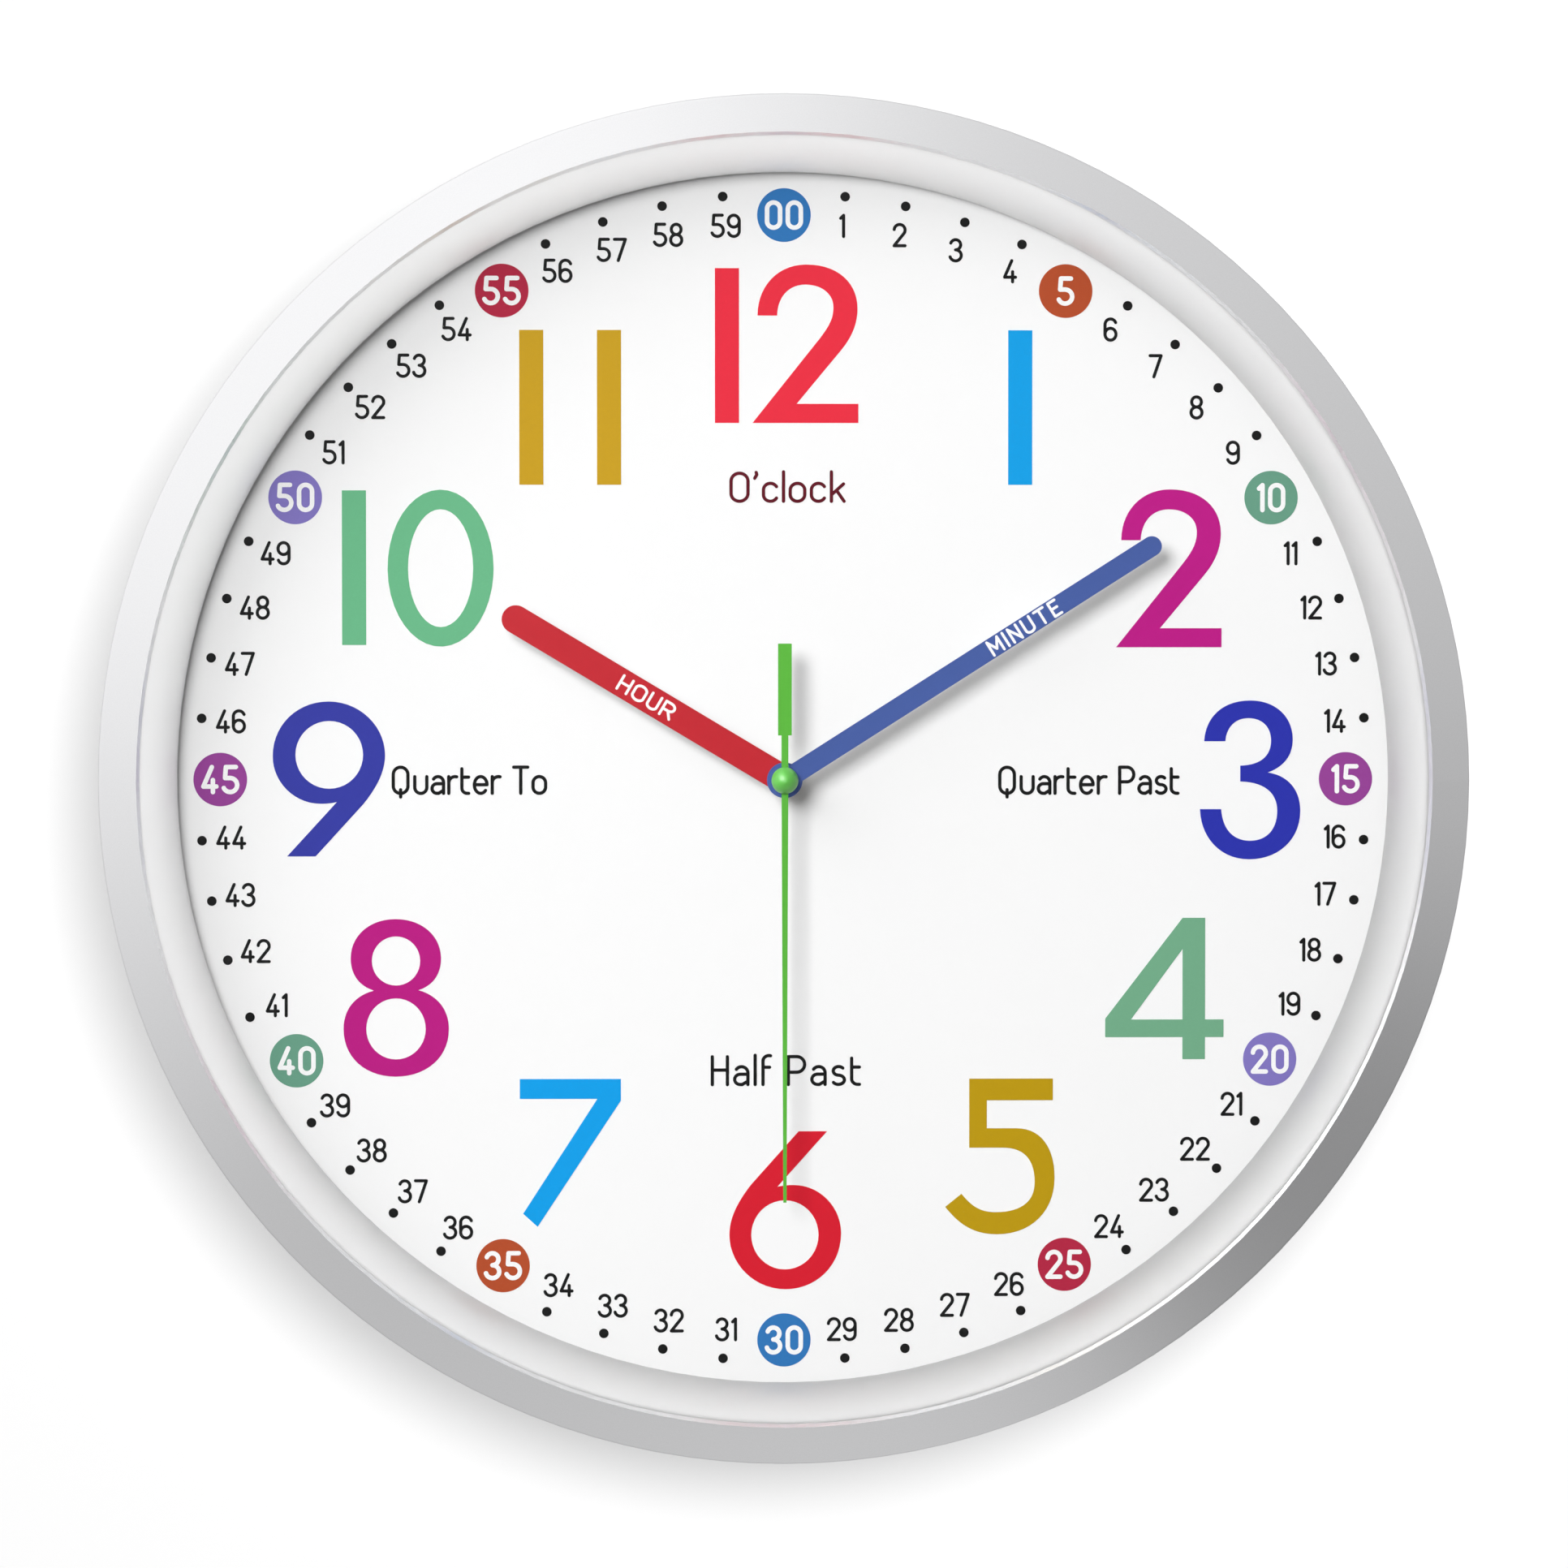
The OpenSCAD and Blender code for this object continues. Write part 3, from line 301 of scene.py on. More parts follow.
# A sign is its width and its strokes, with capitals one unit high. A stroke holds points (x, y) and arcs
# (middle x, middle y, half width, half height, first angle, last angle).
PEN = {
    "0": (0.52, [oval(0.52, 1)]),
    "1": (0.14, [[(0, 0.86), (0.14, 1), (0.14, 0)]]),
    "2": (0.52, [[(0.26, 0.74, 0.26, 0.26, 175, -38), (0, 0), (0.52, 0)]]),
    "3": (0.52, [[(0.25, 0.76, 0.24, 0.24, 160, -90)], [(0.25, 0.26, 0.27, 0.26, 90, -165)]]),
    "4": (0.52, [[(0.34, 1), (0, 0.22), (0.52, 0.22)], [(0.38, 0.48), (0.38, 0)]]),
    "5": (0.52, [[(0.47, 1), (0.07, 1), (0.04, 0.56), (0.24, 0.56), (0.24, 0.28, 0.28, 0.28, 90, -155)]]),
    "6": (0.52, [[(0.26, 0.28, 0.26, 0.28, 0, 360)],
                 [(0, 0.28), (0, 0.74), (0.26, 0.74, 0.26, 0.26, 180, 20)]]),
    "7": (0.52, [[(0, 1), (0.52, 1), (0.18, 0)]]),
    "8": (0.52, [[(0.26, 0.76, 0.23, 0.24, 0, 360)], [(0.26, 0.26, 0.26, 0.26, 0, 360)]]),
    "9": (0.52, [[(0.26, 0.72, 0.26, 0.28, 0, 360)],
                 [(0.52, 0.72), (0.52, 0.26), (0.26, 0.26, 0.26, 0.26, 0, -160)]]),
    "O": (0.56, [oval(0.56, 1)]),
    "Q": (0.62, [oval(0.56, 1), [(0.28, 0.14), (0.28, -0.14)]]),
    "'": (0.07, [[(0.05, 1.03), (0.07, 0.95), (0, 0.82)]]),
    "c": (0.44, [[(0.23, 0.41, 0.23, 0.23, 30, 180), (0, 0.23), (0.23, 0.23, 0.23, 0.23, 180, 330)]]),
    "l": (0.0, [[(0, 0), (0, 1.05)]]),
    "o": (0.48, [oval(0.48, 0.64)]),
    "k": (0.42, [[(0, 0), (0, 1.05)], [(0.40, 0.62), (0.01, 0.24)], [(0.17, 0.39), (0.42, 0)]]),
    "u": (0.46, [[(0, 0.64), (0, 0.23), (0.23, 0.23, 0.23, 0.23, 180, 360), (0.46, 0.64)]]),
    "a": (0.44, [[(0.23, 0.42, 0.21, 0.22, 145, 0), (0.44, 0)],
                 [(0.44, 0.37), (0.19, 0.37), (0.19, 0.185, 0.19, 0.185, 90, 270), (0.25, 0),
                  (0.44, 0.12)]]),
    "r": (0.30, [[(0, 0), (0, 0.64)], [(0, 0.40), (0.24, 0.40, 0.24, 0.24, 180, 75)]]),
    "t": (0.28, [[(0, 0.94), (0, 0.20), (0.20, 0.20, 0.20, 0.20, 180, 270), (0.26, 0)],
                 [(0, 0.62), (0.26, 0.62)]]),
    "e": (0.48, [[(0, 0.33), (0.48, 0.33), (0.24, 0.33, 0.24, 0.31, 0, 180),
                  (0.24, 0.31, 0.24, 0.31, 180, 320)]]),
    "P": (0.54, [[(0, 0), (0, 1), (0.28, 1), (0.28, 0.72, 0.26, 0.28, 90, -90), (0, 0.44)]]),
    "s": (0.40, [[(0.21, 0.485, 0.18, 0.155, 40, 270)], [(0.20, 0.165, 0.20, 0.165, 90, -145)]]),
    "H": (0.50, [[(0, 0), (0, 1)], [(0.50, 0), (0.50, 1)], [(0, 0.52), (0.50, 0.52)]]),
    "f": (0.26, [[(0.22, 0.84, 0.20, 0.20, 75, 180), (0.02, 0)], [(0.02, 0.62), (0.24, 0.62)]]),
    "T": (0.54, [[(0, 1), (0.54, 1)], [(0.27, 1), (0.27, 0)]]),
    "U": (0.48, [[(0, 1), (0, 0.24), (0.24, 0.24, 0.24, 0.24, 180, 360), (0.48, 1)]]),
    "R": (0.52, [[(0, 0), (0, 1), (0.28, 1), (0.28, 0.73, 0.24, 0.27, 90, -90), (0, 0.46)],
                 [(0.28, 0.46), (0.52, 0)]]),
    "M": (0.60, [[(0, 0), (0, 1), (0.30, 0.30), (0.60, 1), (0.60, 0)]]),
    "I": (0.0, [[(0, 0), (0, 1)]]),
    "N": (0.48, [[(0, 0), (0, 1), (0.48, 0), (0.48, 1)]]),
    "E": (0.40, [[(0.40, 1), (0, 1), (0, 0), (0.40, 0)], [(0, 0.52), (0.34, 0.52)]]),
    " ": (0.12, []),
}

# Limits of one pen outline, in radians: the sharpest bend inside it, and how far it may curl round
SHARPEST_BEND = 0.6
LONGEST_CURL = 2.6
CAP_STEPS = 8
SAME_POINT = 1e-4


def trace(stroke):
    """The points of a stroke, arcs worked out and repeats left out."""
    points = []
    for item in stroke:
        for point in ([item] if len(item) == 2 else arc(*item)):
            point = Vector(point)
            if not points or (point - points[-1]).length > SAME_POINT:
                points.append(point)
    return points


def directions(points):
    """The unit steps from each point to the next."""
    return [(b - a).normalized() for a, b in zip(points, points[1:])]


def split_track(points):
    """A pen's track in parts. A new one starts at a sharp corner, or before it curls onto itself."""
    steps = directions(points)
    parts, part, curl = [], points[:2], 0.0
    for k in range(1, len(steps)):
        bend = steps[k].angle_signed(steps[k - 1])
        if abs(bend) > SHARPEST_BEND or abs(curl + bend) > LONGEST_CURL:
            parts.append(part)
            part, curl = [points[k]], 0.0
        else:
            curl += bend
        part.append(points[k + 1])
    return [*parts, part]


def round_cap(centre, way, radius):
    """The points between the two sides of a round end, where way points out of the stroke."""
    first = math.atan2(-way.x, way.y)
    angles = [first + math.pi * k / CAP_STEPS for k in range(1, CAP_STEPS)]
    return [centre + radius * Vector((math.cos(angle), math.sin(angle))) for angle in angles]


def ribbon(track, radius):
    """The outline of one part of a pen's track, with round ends."""
    ways = directions(track)
    sides = []
    for before, after in zip([ways[0], *ways], [*ways, ways[-1]]):
        middle = (before + after).normalized()
        sides.append(Vector((-middle.y, middle.x)) * radius / middle.dot(before))
    right = [point - side for point, side in zip(track, sides)]
    left = [point + side for point, side in zip(track, sides)]
    last_end = round_cap(track[-1], ways[-1], radius)
    first_end = round_cap(track[0], -ways[0], radius)
    return right + last_end + left[::-1] + first_end


def ribbons(points, radius):
    """Outlines that together cover a pen's whole track."""
    return [ribbon(part, radius) for part in split_track(points)]


def lettering(text, height, pen, gap, middle, along, wide):
    """Outlines of a centred line of text, one list for each sign.

    height is over the strokes, pen is their width, gap is the space between two signs as a share of the
    letters' height, along is the way that the text runs, and wide stretches the letters.
    """
    size = height - pen
    along = Vector(along).normalized()
    up = Vector((-along.y, along.x))
    gap_mm = gap * size
    widths = [PEN[sign][0] * size * wide for sign in text]
    start = -(sum(widths) + gap_mm * (len(text) - 1)) / 2
    signs = []
    for sign, width in zip(text, widths):
        outlines = []
        for stroke in PEN[sign][1]:
            track = [Vector(middle) + along * (start + p.x * size * wide) + up * ((p.y - 0.5) * size)
                     for p in trace(stroke)]
            outlines += ribbons(track, pen / 2)
        if outlines:
            signs.append(outlines)
        start += width + gap_mm
    return signs


class Print:
    """Thin closed shapes of one ink, gathered into one piece."""

    def __init__(self, name, body, material, y_back, y_front):
        self.name = name
        self.body = body
        self.material = material
        self.heights = y_front, y_back
        self.vertices = []
        self.faces = []

    def add(self, adds, cuts=()):
        """One more shape, from outlines that join and outlines that are cut out."""
        corners, cells = flat_union(adds, cuts)
        used = sorted({i for cell in cells for i in cell})
        start = len(self.vertices)
        count = len(used)
        front = {i: start + k for k, i in enumerate(used)}
        for y in self.heights:
            self.vertices += [(corners[i].x * MM, y, corners[i].y * MM) for i in used]
        edges = set()
        for a, b, c in cells:
            self.faces.append((front[a], front[b], front[c]))
            self.faces.append((front[c] + count, front[b] + count, front[a] + count))
            edges |= {(a, b), (b, c), (c, a)}
        for a, b in edges:
            if (b, a) not in edges:
                self.faces.append((front[a], front[a] + count, front[b] + count, front[b]))

    def write(self, text, height, pen, gap, middle, along=(1, 0), wide=1.0):
        """One more line of text, each sign a shape of its own."""
        for outlines in lettering(text, height, pen, gap, middle, along, wide):
            self.add(outlines)

    def make(self, slot):
        """Puts the piece into the scene, riding on its body."""
        mesh = bpy.data.meshes.new(self.name)
        mesh.from_pydata(self.vertices, [], self.faces)
        mesh.materials.append(self.material)
        piece = put(self.name, mesh)
        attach(piece, self.body)


# The dial's print: the ink's thickness and how deep it sits in what it is printed on, in mm
INK_THICK = 0.05
INK_SUNK = 0.01
OVERPRINT_THICK = 0.03
dial_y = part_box("dial")[0].y
PRINT_BACK = dial_y + INK_SUNK * MM
PRINT_FRONT = dial_y - INK_THICK * MM


def dial_print(name, material):
    """An empty print on the dial's card."""
    return Print(name, "case", material, PRINT_BACK, PRINT_FRONT)


# Minute dots and numbers, placed by their distance from the axis
DOT_PLACE = 128.85
DOT_RADIUS = 1.07
DOT_SIDES = 24
MINUTE_PLACE = 122.4
MINUTE_HEIGHT = 5.35
MINUTE_PEN = 0.7
MINUTE_GAP = 0.235

minutes = dial_print("minute_track", BLACK_INK)
for minute in range(60):
    if minute % 5:
        minutes.add([disc(*around(minute, DOT_PLACE), DOT_RADIUS, DOT_SIDES)])
        minutes.write(str(minute), MINUTE_HEIGHT, MINUTE_PEN, MINUTE_GAP, around(minute, MINUTE_PLACE))
minutes.make("dial_white")

# Round badges at every fifth minute, two of each colour, with white numbers printed over them
BADGES = [
    ("blue", (48, 118, 185), (0, 30)),
    ("rust", (180, 77, 41), (5, 35)),
    ("sage", (104, 158, 134), (10, 40)),
    ("plum", (150, 66, 150), (15, 45)),
    ("violet", (131, 119, 193), (20, 50)),
    ("ruby", (178, 37, 66), (25, 55)),
]
BADGE_PLACE = 124.1
BADGE_RADIUS = 5.9
BADGE_SIDES = 64
BADGE_HEIGHT = 6.5
BADGE_PEN = 1.0
BADGE_GAP = 0.31

badge_numbers = Print("badge_numbers", "case", WHITE_INK, PRINT_FRONT + INK_SUNK * MM,
                      PRINT_FRONT - OVERPRINT_THICK * MM)
for name, color, pair in BADGES:
    badges = dial_print("badges_" + name, ink("badge_" + name, color))
    for minute in pair:
        middle = around(minute, BADGE_PLACE)
        badges.add([disc(*middle, BADGE_RADIUS, BADGE_SIDES)])
        badge_numbers.write(str(minute) if minute else "00", BADGE_HEIGHT, BADGE_PEN, BADGE_GAP, middle)
    badges.make("dial_white")
badge_numbers.make("dial_white")

# Hour numbers, in mm from the left and the foot
# In an outline two numbers are a corner, and six are a curve: its two handles and its end. An oval ends
# short of 360 degrees, because its last point would repeat its first.
OUTLINE = {
    "1": [(0, 0), (5.3, 0), (5.3, 34), (0, 34)],
    "2": [(1.1, 23.6), (1.1, 29.9, 5.4, 34.8, 11.9, 34.8), (18.8, 34.8, 23.1, 30.8, 23.1, 25.1),
          (23.1, 21.9, 21.9, 18.9, 19.5, 16.0), (9.7, 4.2), (23.3, 4.2), (23.3, 0), (0, 0), (14.9, 18.7),
          (16.7, 21.1, 17.8, 22.8, 17.8, 25.4), (17.8, 28.4, 15.2, 30.4, 11.6, 30.4),
          (7.8, 30.4, 5.5, 27.5, 5.4, 23.6)],
    "3": [(0.9, 26.1), (1.2, 31.4, 4.9, 35.1, 11.1, 35.1), (16.7, 35.1, 20.5, 31.5, 20.5, 26.5),
          (20.5, 22.8, 18.4, 20.4, 15.0, 19.2), (19.5, 18.5, 22.2, 15.4, 22.2, 10.7),
          (22.2, 4.5, 17.6, 0, 10.9, 0), (4.5, 0, 0.2, 4.8, 0, 11.1), (4.7, 11.1),
          (5.0, 6.6, 7.4, 4.1, 11.1, 4.1), (14.8, 4.1, 17.1, 6.6, 17.1, 10.7),
          (17.1, 14.7, 14.2, 17.1, 8.9, 17.2), (8.9, 20.7), (13.2, 20.8, 15.7, 22.7, 15.7, 26.2),
          (15.7, 29.3, 13.7, 31.2, 10.6, 31.2), (7.8, 31.2, 5.8, 29.2, 5.6, 26.1)],
    "4": [(17.1, 31.3), (22.1, 31.3), (22.1, 8.8), (26.2, 8.8), (26.2, 4.9), (22.1, 4.9), (22.1, 0),
          (17.1, 0), (17.1, 4.9), (0, 4.9), (0, 9.0)],
    "5": [(5.3, 34.5), (23.8, 34.5), (23.8, 29.7), (9.2, 29.7), (9.2, 23.5), (15.7, 23.5),
          (21.2, 23.5, 24.2, 19.2, 24.2, 12.5), (24.2, 5.2, 19.2, 0, 11.5, 0), (6.5, 0, 3.2, 2.0, 0, 6.1),
          (3.6, 9.0), (6.0, 6.0, 8.0, 4.9, 11.2, 4.9), (16.5, 4.9, 19.8, 7.0, 19.8, 11.5),
          (19.8, 16.5, 17.5, 19.2, 12.7, 19.2), (5.3, 19.2)],
    "6": [(15.3, 35), (21.6, 35), (10.6, 22.7), (11.8, 23.0, 12.9, 23.1, 14.2, 23.1),
          (20.0, 23.1, 24.7, 18.2, 24.7, 12.4), (24.7, 5.3, 19.3, 0, 12.4, 0), (5.5, 0, 0, 5.6, 0, 12.1),
          (0, 15.9, 1.9, 19.5, 4.8, 23.2)],
    "7": [(0, 32.7), (22.3, 32.7), (22.3, 27.9), (3.9, 0), (0.7, 2.9), (17.1, 28.3), (0, 28.3)],
    "8": [(11.5, 34.8), (17.3, 34.8, 21.5, 31.1, 21.5, 26.1), (21.5, 22.6, 19.7, 20.1, 16.5, 19.1),
          (20.6, 18.0, 23.2, 14.9, 23.2, 10.5), (23.2, 4.2, 18.2, 0, 11.5, 0), (4.8, 0, 0, 4.2, 0, 10.5),
          (0, 14.9, 2.6, 18.0, 6.7, 19.0), (3.4, 20.1, 1.6, 22.6, 1.6, 26.1),
          (1.6, 31.1, 5.7, 34.8, 11.5, 34.8)],
    "0": arc(11.65, 17.26, 11.65, 17.26, 0, 354),
}
OPENINGS = {
    "4": [[(17.1, 24.4), (5.7, 8.8), (17.1, 8.8)]],
    "6": [arc(12.27, 12.05, 7.44, 7.66, 0, 351)],
    "8": [arc(11.58, 25.55, 5.32, 5.42, 0, 351), arc(11.55, 10.55, 6.55, 6.74, 0, 351)],
    "0": [arc(11.65, 17.26, 7.16, 12.97, 0, 351)],
}
CURVE_STEPS = 14
CLOSED_WITHIN = 0.01

# The nine is the six turned half round, a little less tall
SIX_WIDE = 24.7
NINE_TALL = 34.1
NINE_SQUASH = 0.975


def curve(start, first_handle, last_handle, end):
    """Points along a cubic curve, without its start."""
    points = []
    for k in range(1, CURVE_STEPS + 1):
        t = k / CURVE_STEPS
        rest = 1 - t
        point = (start * rest ** 3 + first_handle * 3 * t * rest ** 2
                 + last_handle * 3 * t * t * rest + end * t ** 3)
        points.append((point.x, point.y))
    return points


def numeral(sign):
    """(outline, openings) of an hour number's digit."""
    if sign == "9":
        outline, openings = numeral("6")
        turned = [[(SIX_WIDE - x, NINE_TALL - NINE_SQUASH * y) for x, y in points]
                  for points in (outline, *openings)]
        return turned[0], turned[1:]
    points = []
    for item in OUTLINE[sign]:
        if len(item) == 2:
            points.append(item)
        else:
            handles_and_end = [Vector(item[k:k + 2]) for k in (0, 2, 4)]
            points += curve(Vector(points[-1]), *handles_and_end)
    if (Vector(points[0]) - Vector(points[-1])).length < CLOSED_WITHIN:
        points.pop()
    return points, OPENINGS.get(sign, [])


# Hour, colour, and each digit with its left end and its foot
HOURS = [
    (1, (8, 158, 228), [("1", 49.41, 64.85)]),
    (2, (188, 22, 133), [("2", 73.3, 29.06)]),
    (3, (41, 49, 170), [("3", 91.91, -17.8)]),
    (4, (114, 171, 136), [("4", 71.03, -62.03)]),
    (5, (187, 151, 5), [("5", 35.67, -100.77)]),
    (6, (214, 24, 45), [("6", -12.06, -112.85)]),
    (7, (4, 158, 232), [("7", -58.3, -98.89)]),
    (8, (184, 22, 128), [("8", -97.12, -65.6)]),
    (9, (53, 59, 160), [("9", -112.56, -16.93)]),
    (10, (106, 183, 136), [("1", -97.24, 29.6), ("0", -87.22, 29.24)]),
    (11, (199, 157, 28), [("1", -58.23, 64.85), ("1", -41.14, 64.85)]),
    (12, (232, 45, 65), [("1", -15.19, 78.45), ("2", -6.91, 78.45)]),
]
for hour, color, digits in HOURS:
    number = dial_print("hour_%02d" % hour, ink("hour_%02d" % hour, color))
    for sign, left, foot in digits:
        outline, openings = numeral(sign)
        placed = [[(x + left, y + foot) for x, y in points] for points in (outline, *openings)]
        number.add(placed[:1], placed[1:])
    number.make("dial_white")

# Words on the dial
WORD_PEN = 0.74

words = dial_print("quarter_words", BLACK_INK)
words.write("Quarter Past", height=6.5, pen=WORD_PEN, gap=0.2, middle=(67.4, -0.3))
words.write("Quarter To", height=6.5, pen=WORD_PEN, gap=0.2, middle=(-69.3, -0.2))
words.write("Half Past", height=6.9, pen=WORD_PEN, gap=0.26, middle=(0.5, -64.4), wide=1.08)
words.make("dial_white")
hour_word = dial_print("hour_word", WORD_INK)
hour_word.write("O'clock", height=6.9, pen=WORD_PEN, gap=0.24, middle=(0.8, 64.3), wide=1.08)
hour_word.make("dial_white")

# Words on the hands
HAND_WORD_HEIGHT = 3.85
HAND_WORD_PEN = 0.6


def hand_word(name, text, node, body, slot, gap, wide, reach, angle, outward):
    """A white word along a hand, its middle reach mm from the axis. angle is the hand's, at rest."""
    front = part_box(node)[0].y
    way = Vector(clockwise(angle, 1))
    word = Print(name, body, WHITE_INK, front + INK_SUNK * MM, front - INK_THICK * MM)
    word.write(text, HAND_WORD_HEIGHT, HAND_WORD_PEN, gap, way * reach, way if outward else -way, wide)
    word.make(slot)


hand_word("hour_hand_word", "HOUR", "hour_hand", "hours", "hand_red",
          gap=0.37, wide=1.45, reach=35.3, angle=300.9, outward=False)
hand_word("minute_hand_word", "MINUTE", "minute_hand", "minutes", "hand_blue",
          gap=0.42, wide=1.32, reach=62.3, angle=57.5, outward=True)

# Battery with a wrapper, a pale ring and bare ends, in place of the plain cell, in mm
CELL_R = 7.1
CELL_L = 50.5
CELL_FINISHES = [NICKEL, WRAP, MARK]
BARE, WRAPPED, PALE = range(3)
# From the flat end to the raised one, as (length, radius, finish of the stretch that follows)
CELL_OUTLINE = [
    (0.25, 0, BARE), (0.25, 4.3, BARE), (0, 4.7, BARE), (0, 5.5, BARE), (0.4, 6.1, WRAPPED),
    (0.4, 6.5, WRAPPED), (0.25, 6.75, WRAPPED), (0.35, 7.0, WRAPPED), (0.6, CELL_R, WRAPPED),
    (43.8, CELL_R, PALE), (44.6, CELL_R, WRAPPED), (48.6, CELL_R, WRAPPED), (48.85, 7.0, WRAPPED),
    (48.95, 6.75, WRAPPED), (48.8, 6.4, BARE), (48.5, 6.1, BARE), (48.5, 3.7, BARE), (48.9, 3.3, BARE),
    (49.0, 2.9, BARE), (49.2, 2.75, BARE), (50.25, 2.75, BARE), (CELL_L, 2.5, BARE), (CELL_L, 0, BARE),
]
TURNED_SIDES = 64
SHARP_FROM = 25


def turned(name, outline, low, axis_y, axis_z, materials):
    """A closed piece turned about a line along X that starts at low."""
    vertices, faces, finishes, rings = [], [], [], []
    for along, radius, _ in outline:
        start = len(vertices)
        for k in range(TURNED_SIDES if radius else 1):
            angle = 2 * math.pi * k / TURNED_SIDES
            y = axis_y + radius * MM * math.cos(angle)
            z = axis_z + radius * MM * math.sin(angle)
            vertices.append((low + along * MM, y, z))
        rings.append([start + (k if radius else 0) for k in range(TURNED_SIDES)])
    for first, second, (_, _, stretch) in zip(rings, rings[1:], outline):
        for i in range(TURNED_SIDES):
            j = (i + 1) % TURNED_SIDES
            corners = dict.fromkeys((first[i], first[j], second[j], second[i]))
            faces.append(tuple(corners))
            finishes.append(stretch)
    mesh = bpy.data.meshes.new(name)
    mesh.from_pydata(vertices, [], faces)
    for material in materials:
        mesh.materials.append(material)
    mesh.polygons.foreach_set("material_index", finishes)
    mesh.polygons.foreach_set("use_smooth", [True] * len(faces))
    mesh.set_sharp_from_angle(angle=math.radians(SHARP_FROM))
    return put(name, mesh)


cell_low, cell_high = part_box("battery")
cell_y = (cell_low.y + cell_high.y) / 2
cell_z = (cell_low.z + cell_high.z) / 2
cell = turned("battery_cell", CELL_OUTLINE, cell_low.x, cell_y, cell_z, CELL_FINISHES)
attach(cell, "battery_cell")
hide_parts("battery")

# Marks on the movement's lid, in mm: the battery's poles, and the ways to turn the knob
MARK_THICK = 0.12
MARK_SUNK = 0.02
POLE_ASIDE = 21.5
POLE_ABOVE_FOOT = 3.6
POLE_ARM = 1.5
POLE_HALF_PEN = 0.35
ARROW_RADIUS = 7.6
ARROW_HALF_PEN = 0.3
ARROW_TURNS = [(30, 150), (210, 330)]
HEAD_HALF_WIDE = 1.3
HEAD_LONG = 2.2

lid_low, lid_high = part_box("movement_lid")
knob_low, knob_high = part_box("setting_knob")
knob_middle = Vector((knob_low.x + knob_high.x, knob_low.z + knob_high.z)) / 2 / MM
marks = Print("lid_marks", "case", MARK, lid_high.y + MARK_THICK * MM, lid_high.y - MARK_SUNK * MM)
flat_arm = Vector((POLE_ARM, 0))
upright_arm = Vector((0, POLE_ARM))
for side, arms in [(1, [flat_arm, upright_arm]), (-1, [flat_arm])]:
    pole = Vector((side * POLE_ASIDE, lid_low.z / MM + POLE_ABOVE_FOOT))
    marks.add([ribbon([pole - arm, pole + arm], POLE_HALF_PEN) for arm in arms])
for start, end in ARROW_TURNS:
    track = [knob_middle + Vector(point) for point in arc(0, 0, ARROW_RADIUS, ARROW_RADIUS, start, end)]
    tip = track[-1]
    way = (tip - track[-2]).normalized()
    across = Vector((-way.y, way.x)) * HEAD_HALF_WIDE
    head = [tip - across, tip + way * HEAD_LONG, tip + across]
    marks.add([*ribbons(track, ARROW_HALF_PEN), head])
marks.make("movement_black")

# Stage: a white wall and floor that only the camera sees, the wall from its front alone, in metres
REACH = 3
WALL_Y = 0.001
FLOOR_Z = -0.30
WALL_GLOW = 0.49
FLOOR_GLOW = 0.95


def plane(name, corners, material):
    """A flat piece of the stage."""
    mesh = bpy.data.meshes.new(name)
    mesh.from_pydata(corners, [], [tuple(range(4))])
    mesh.materials.append(material)
    piece = put(name, mesh)
    piece.visible_diffuse = False
    piece.visible_glossy = False
    piece.visible_transmission = False
    piece.visible_shadow = False
    return piece


def stage_paint(name, glow_level):
    """White paint, clear from behind, with a glow of its own, so that a soft shadow on it stays pale."""
    material = finish(name, (0.5, 0.5, 0.5), 0.9, grain=300, spread=0.004, relief=0.0, shine=0)
    nodes = material.node_tree.nodes
    links = material.node_tree.links
    glow = nodes.new("ShaderNodeEmission")
    glow.inputs["Strength"].default_value = glow_level
    both = nodes.new("ShaderNodeAddShader")
    clear = nodes.new("ShaderNodeBsdfTransparent")
    side = nodes.new("ShaderNodeNewGeometry")
    mix = nodes.new("ShaderNodeMixShader")
    links.new(nodes["Principled BSDF"].outputs["BSDF"], both.inputs[0])
    links.new(glow.outputs["Emission"], both.inputs[1])
    links.new(side.outputs["Backfacing"], mix.inputs["Fac"])
    links.new(both.outputs["Shader"], mix.inputs[1])
    links.new(clear.outputs["BSDF"], mix.inputs[2])
    links.new(mix.outputs["Shader"], nodes["Material Output"].inputs["Surface"])
    return material


wall = plane("wall", [
    (-REACH, WALL_Y, FLOOR_Z), (REACH, WALL_Y, FLOOR_Z), (REACH, WALL_Y, REACH), (-REACH, WALL_Y, REACH),
], stage_paint("wall_paint", WALL_GLOW))
floor = plane("floor", [
    (-REACH, -REACH, FLOOR_Z), (REACH, -REACH, FLOOR_Z), (REACH, REACH, FLOOR_Z), (-REACH, REACH, FLOOR_Z),
], stage_paint("floor_paint", FLOOR_GLOW))

# Lamps, in metres and watts
LAMP_AIM = (0, -0.02, 0)


def lamp(name, place, size, watts, state, pieces):
    """A round lamp that lights only the pieces, with state INCLUDE, or all but them, with EXCLUDE."""
    data = bpy.data.lights.new(name, "AREA")
    data.shape = "DISK"
    data.size = size
    data.energy = watts
    light = put(name, data)
    light.location = place
    light.rotation_euler = facing(place, LAMP_AIM)
    group = bpy.data.collections.new(("for_" if state == "INCLUDE" else "not_for_") + name)
    for piece in pieces:
        group.objects.link(piece)
    for member in group.collection_objects:
        member.light_linking.link_state = state
    light.light_linking.receiver_collection = group
    return light


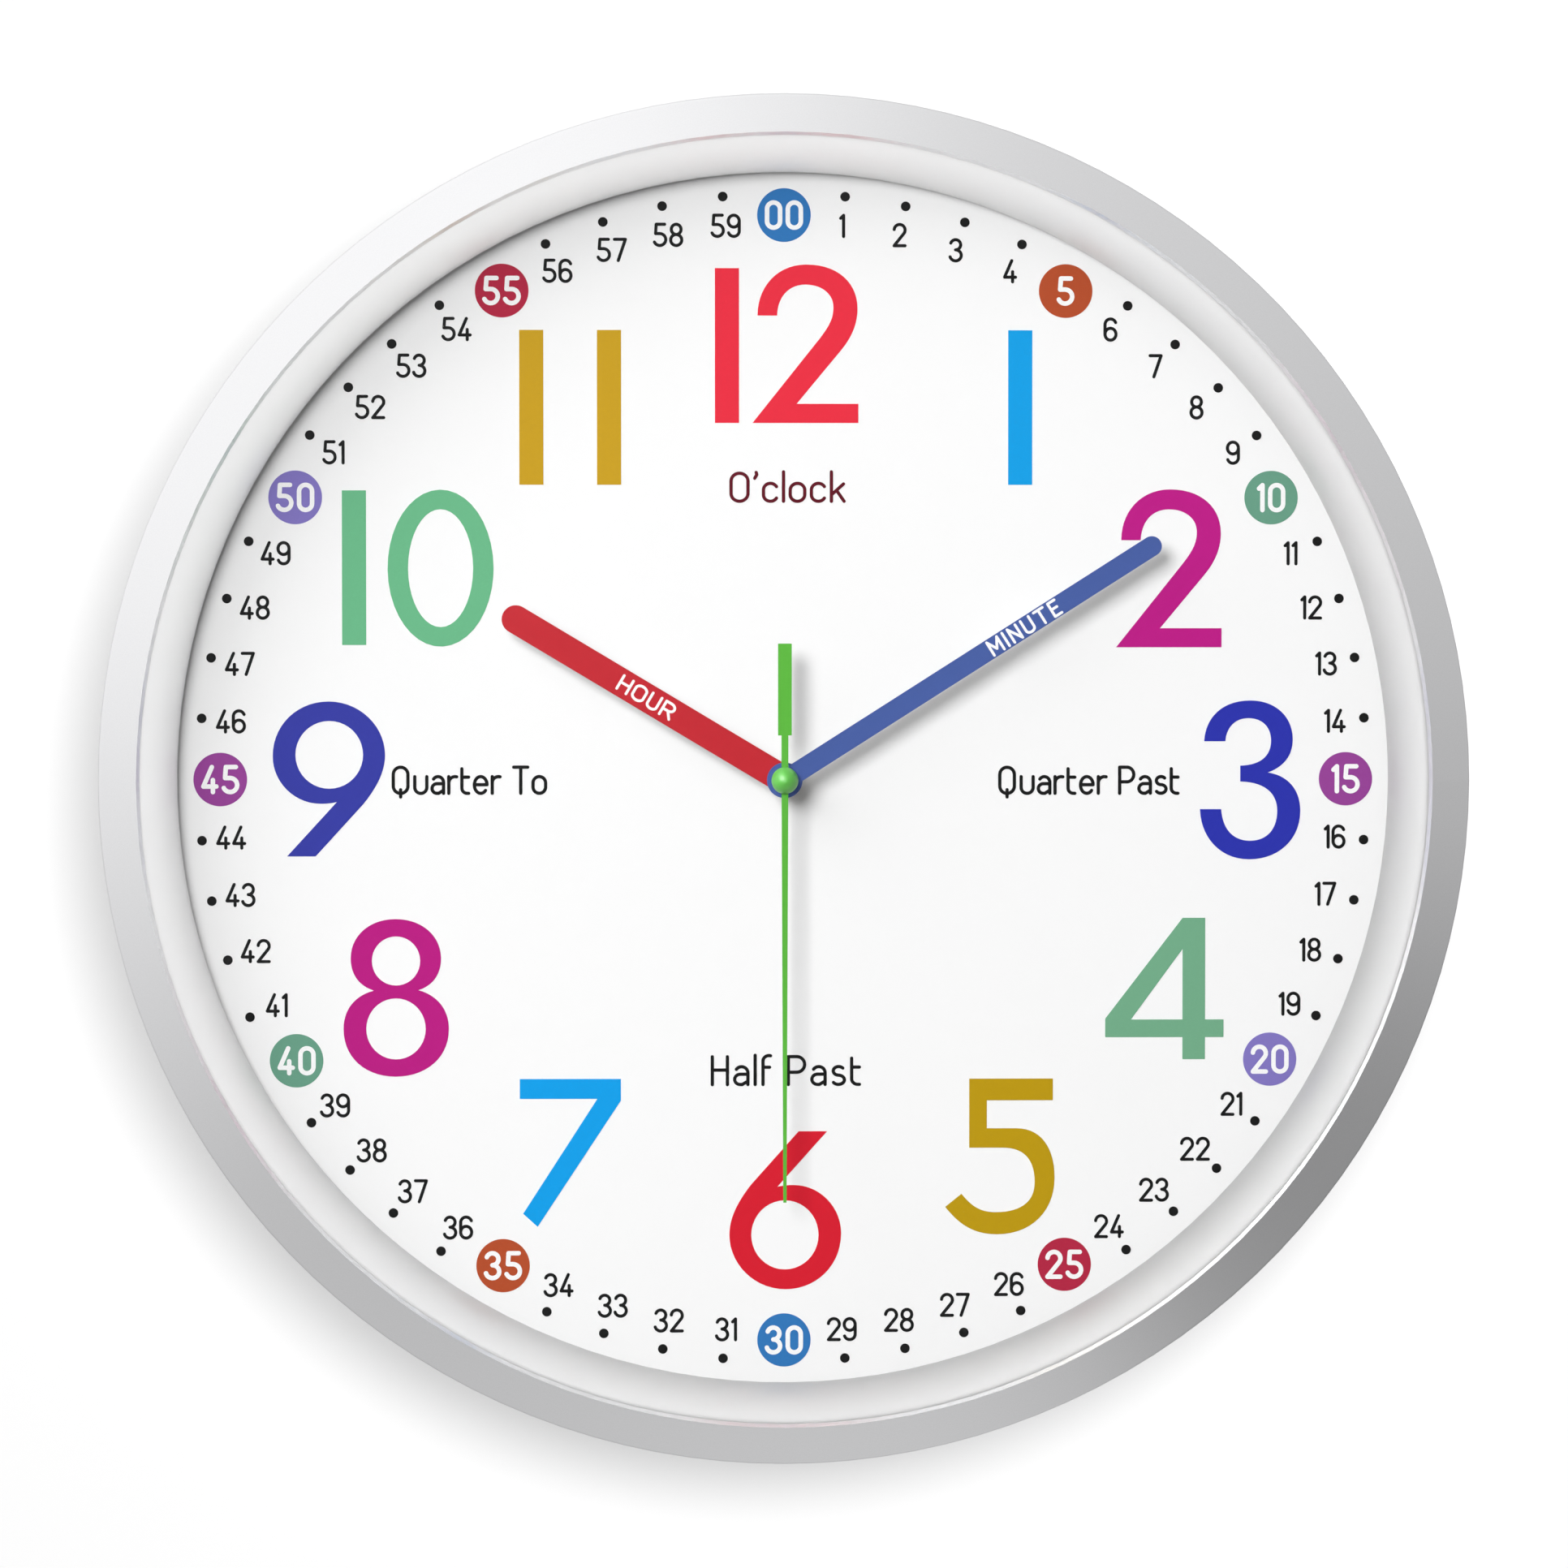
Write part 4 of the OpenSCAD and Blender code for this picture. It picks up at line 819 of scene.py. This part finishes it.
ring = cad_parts["inner_ring"]
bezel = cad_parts["bezel"]
stage = [wall, floor]
lamp("key", place=(-0.78, -2.14, 0.75), size=1.05, watts=43, state="EXCLUDE", pieces=[*stage, ring, bezel])
lamp("side", place=(-2.08, -1.44, 1.76), size=2.5, watts=60, state="EXCLUDE", pieces=[*stage, ring, bezel])
lamp("ring_lamp", place=(0.085, -1.6, -0.085), size=0.9, watts=31.5, state="INCLUDE", pieces=[ring])
lamp("wall_lamp", place=(0.20, -1.6, 0.27), size=0.75, watts=26, state="INCLUDE", pieces=stage)
rear = lamp("rear", place=(0.7, 1.5, 0.9), size=1.0, watts=34, state="EXCLUDE", pieces=[floor])
rear.visible_glossy = False

# World: white to the camera and through glass, softer as light, and panels all round in reflections
CAMERA_LEVEL = 1.0
FILL_LEVEL = 0.18

# Panels as (degrees clockwise from the top, level): bright at the upper left, dark at the lower right
PANELS = [
    (-180, 0.71), (-132, 0.60), (-75, 1.21), (-12, 1.29), (20, 0.86), (70, 0.70),
    (97, 0.58), (116, 0.31), (140, 0.30), (153, 0.68), (165, 0.74), (180, 0.71),
]

# Levels by direction, as (first Y, last Y, first level, last level)
DARK_AHEAD = (-0.95, -0.7, 0.08, 1.0)
DARKER_BEHIND = (0.1, 0.8, 1.0, 0.7)

world = bpy.data.worlds.new("studio")
scene.world = world
world.use_nodes = True
world_nodes = world.node_tree.nodes
world_links = world.node_tree.links
rays = world_nodes.new("ShaderNodeLightPath")


def by_math(operation, first, second):
    """The result of a sum on two values."""
    node = world_nodes.new("ShaderNodeMath")
    node.operation = operation
    world_links.new(first, node.inputs[0])
    world_links.new(second, node.inputs[1])
    return node.outputs["Value"]


def by_range(value, from_min, from_max, to_min, to_max):
    """A value carried over from one range to another."""
    node = world_nodes.new("ShaderNodeMapRange")
    node.inputs["From Min"].default_value = from_min
    node.inputs["From Max"].default_value = from_max
    node.inputs["To Min"].default_value = to_min
    node.inputs["To Max"].default_value = to_max
    world_links.new(value, node.inputs["Value"])
    return node.outputs["Result"]


def by_panel(share):
    """The panels' level at a share of the way round, which starts and ends at the foot."""
    node = world_nodes.new("ShaderNodeValToRGB")
    elements = node.color_ramp.elements
    while len(elements) < len(PANELS):
        elements.new(0.5)
    for element, (angle, level) in zip(elements, PANELS):
        element.position = (angle + 180) / 360
        element.color = (level, level, level, 1)
    world_links.new(share, node.inputs["Fac"])
    return node.outputs["Color"]


def by_ray(kind, others, these):
    """The level these for one kind of ray, and others for the rest. A level is a number or an output."""
    node = world_nodes.new("ShaderNodeMix")
    world_links.new(rays.outputs[kind], node.inputs["Factor"])
    for name, level in (("A", others), ("B", these)):
        if isinstance(level, float):
            node.inputs[name].default_value = level
        else:
            world_links.new(level, node.inputs[name])
    return node.outputs["Result"]


look = world_nodes.new("ShaderNodeTexCoord")
way = world_nodes.new("ShaderNodeSeparateXYZ")
world_links.new(look.outputs["Generated"], way.inputs["Vector"])
turn = by_math("ARCTAN2", way.outputs["X"], way.outputs["Z"])
panels = by_panel(by_range(turn, -math.pi, math.pi, 0, 1))
# Dark straight ahead of the dial, where the camera stands, and a little darker behind the clock
ahead = by_range(way.outputs["Y"], *DARK_AHEAD)
behind = by_range(way.outputs["Y"], *DARKER_BEHIND)
room = by_math("MULTIPLY", by_math("MULTIPLY", panels, behind), ahead)
reflected = by_ray("Is Glossy Ray", FILL_LEVEL, room)
through = by_ray("Is Transmission Ray", reflected, ahead)
seen = by_ray("Is Camera Ray", through, CAMERA_LEVEL)
background = world_nodes["Background"]
background.inputs["Color"].default_value = (1, 1, 1, 1)
world_links.new(seen, background.inputs["Strength"])
scene.view_settings.view_transform = "Standard"
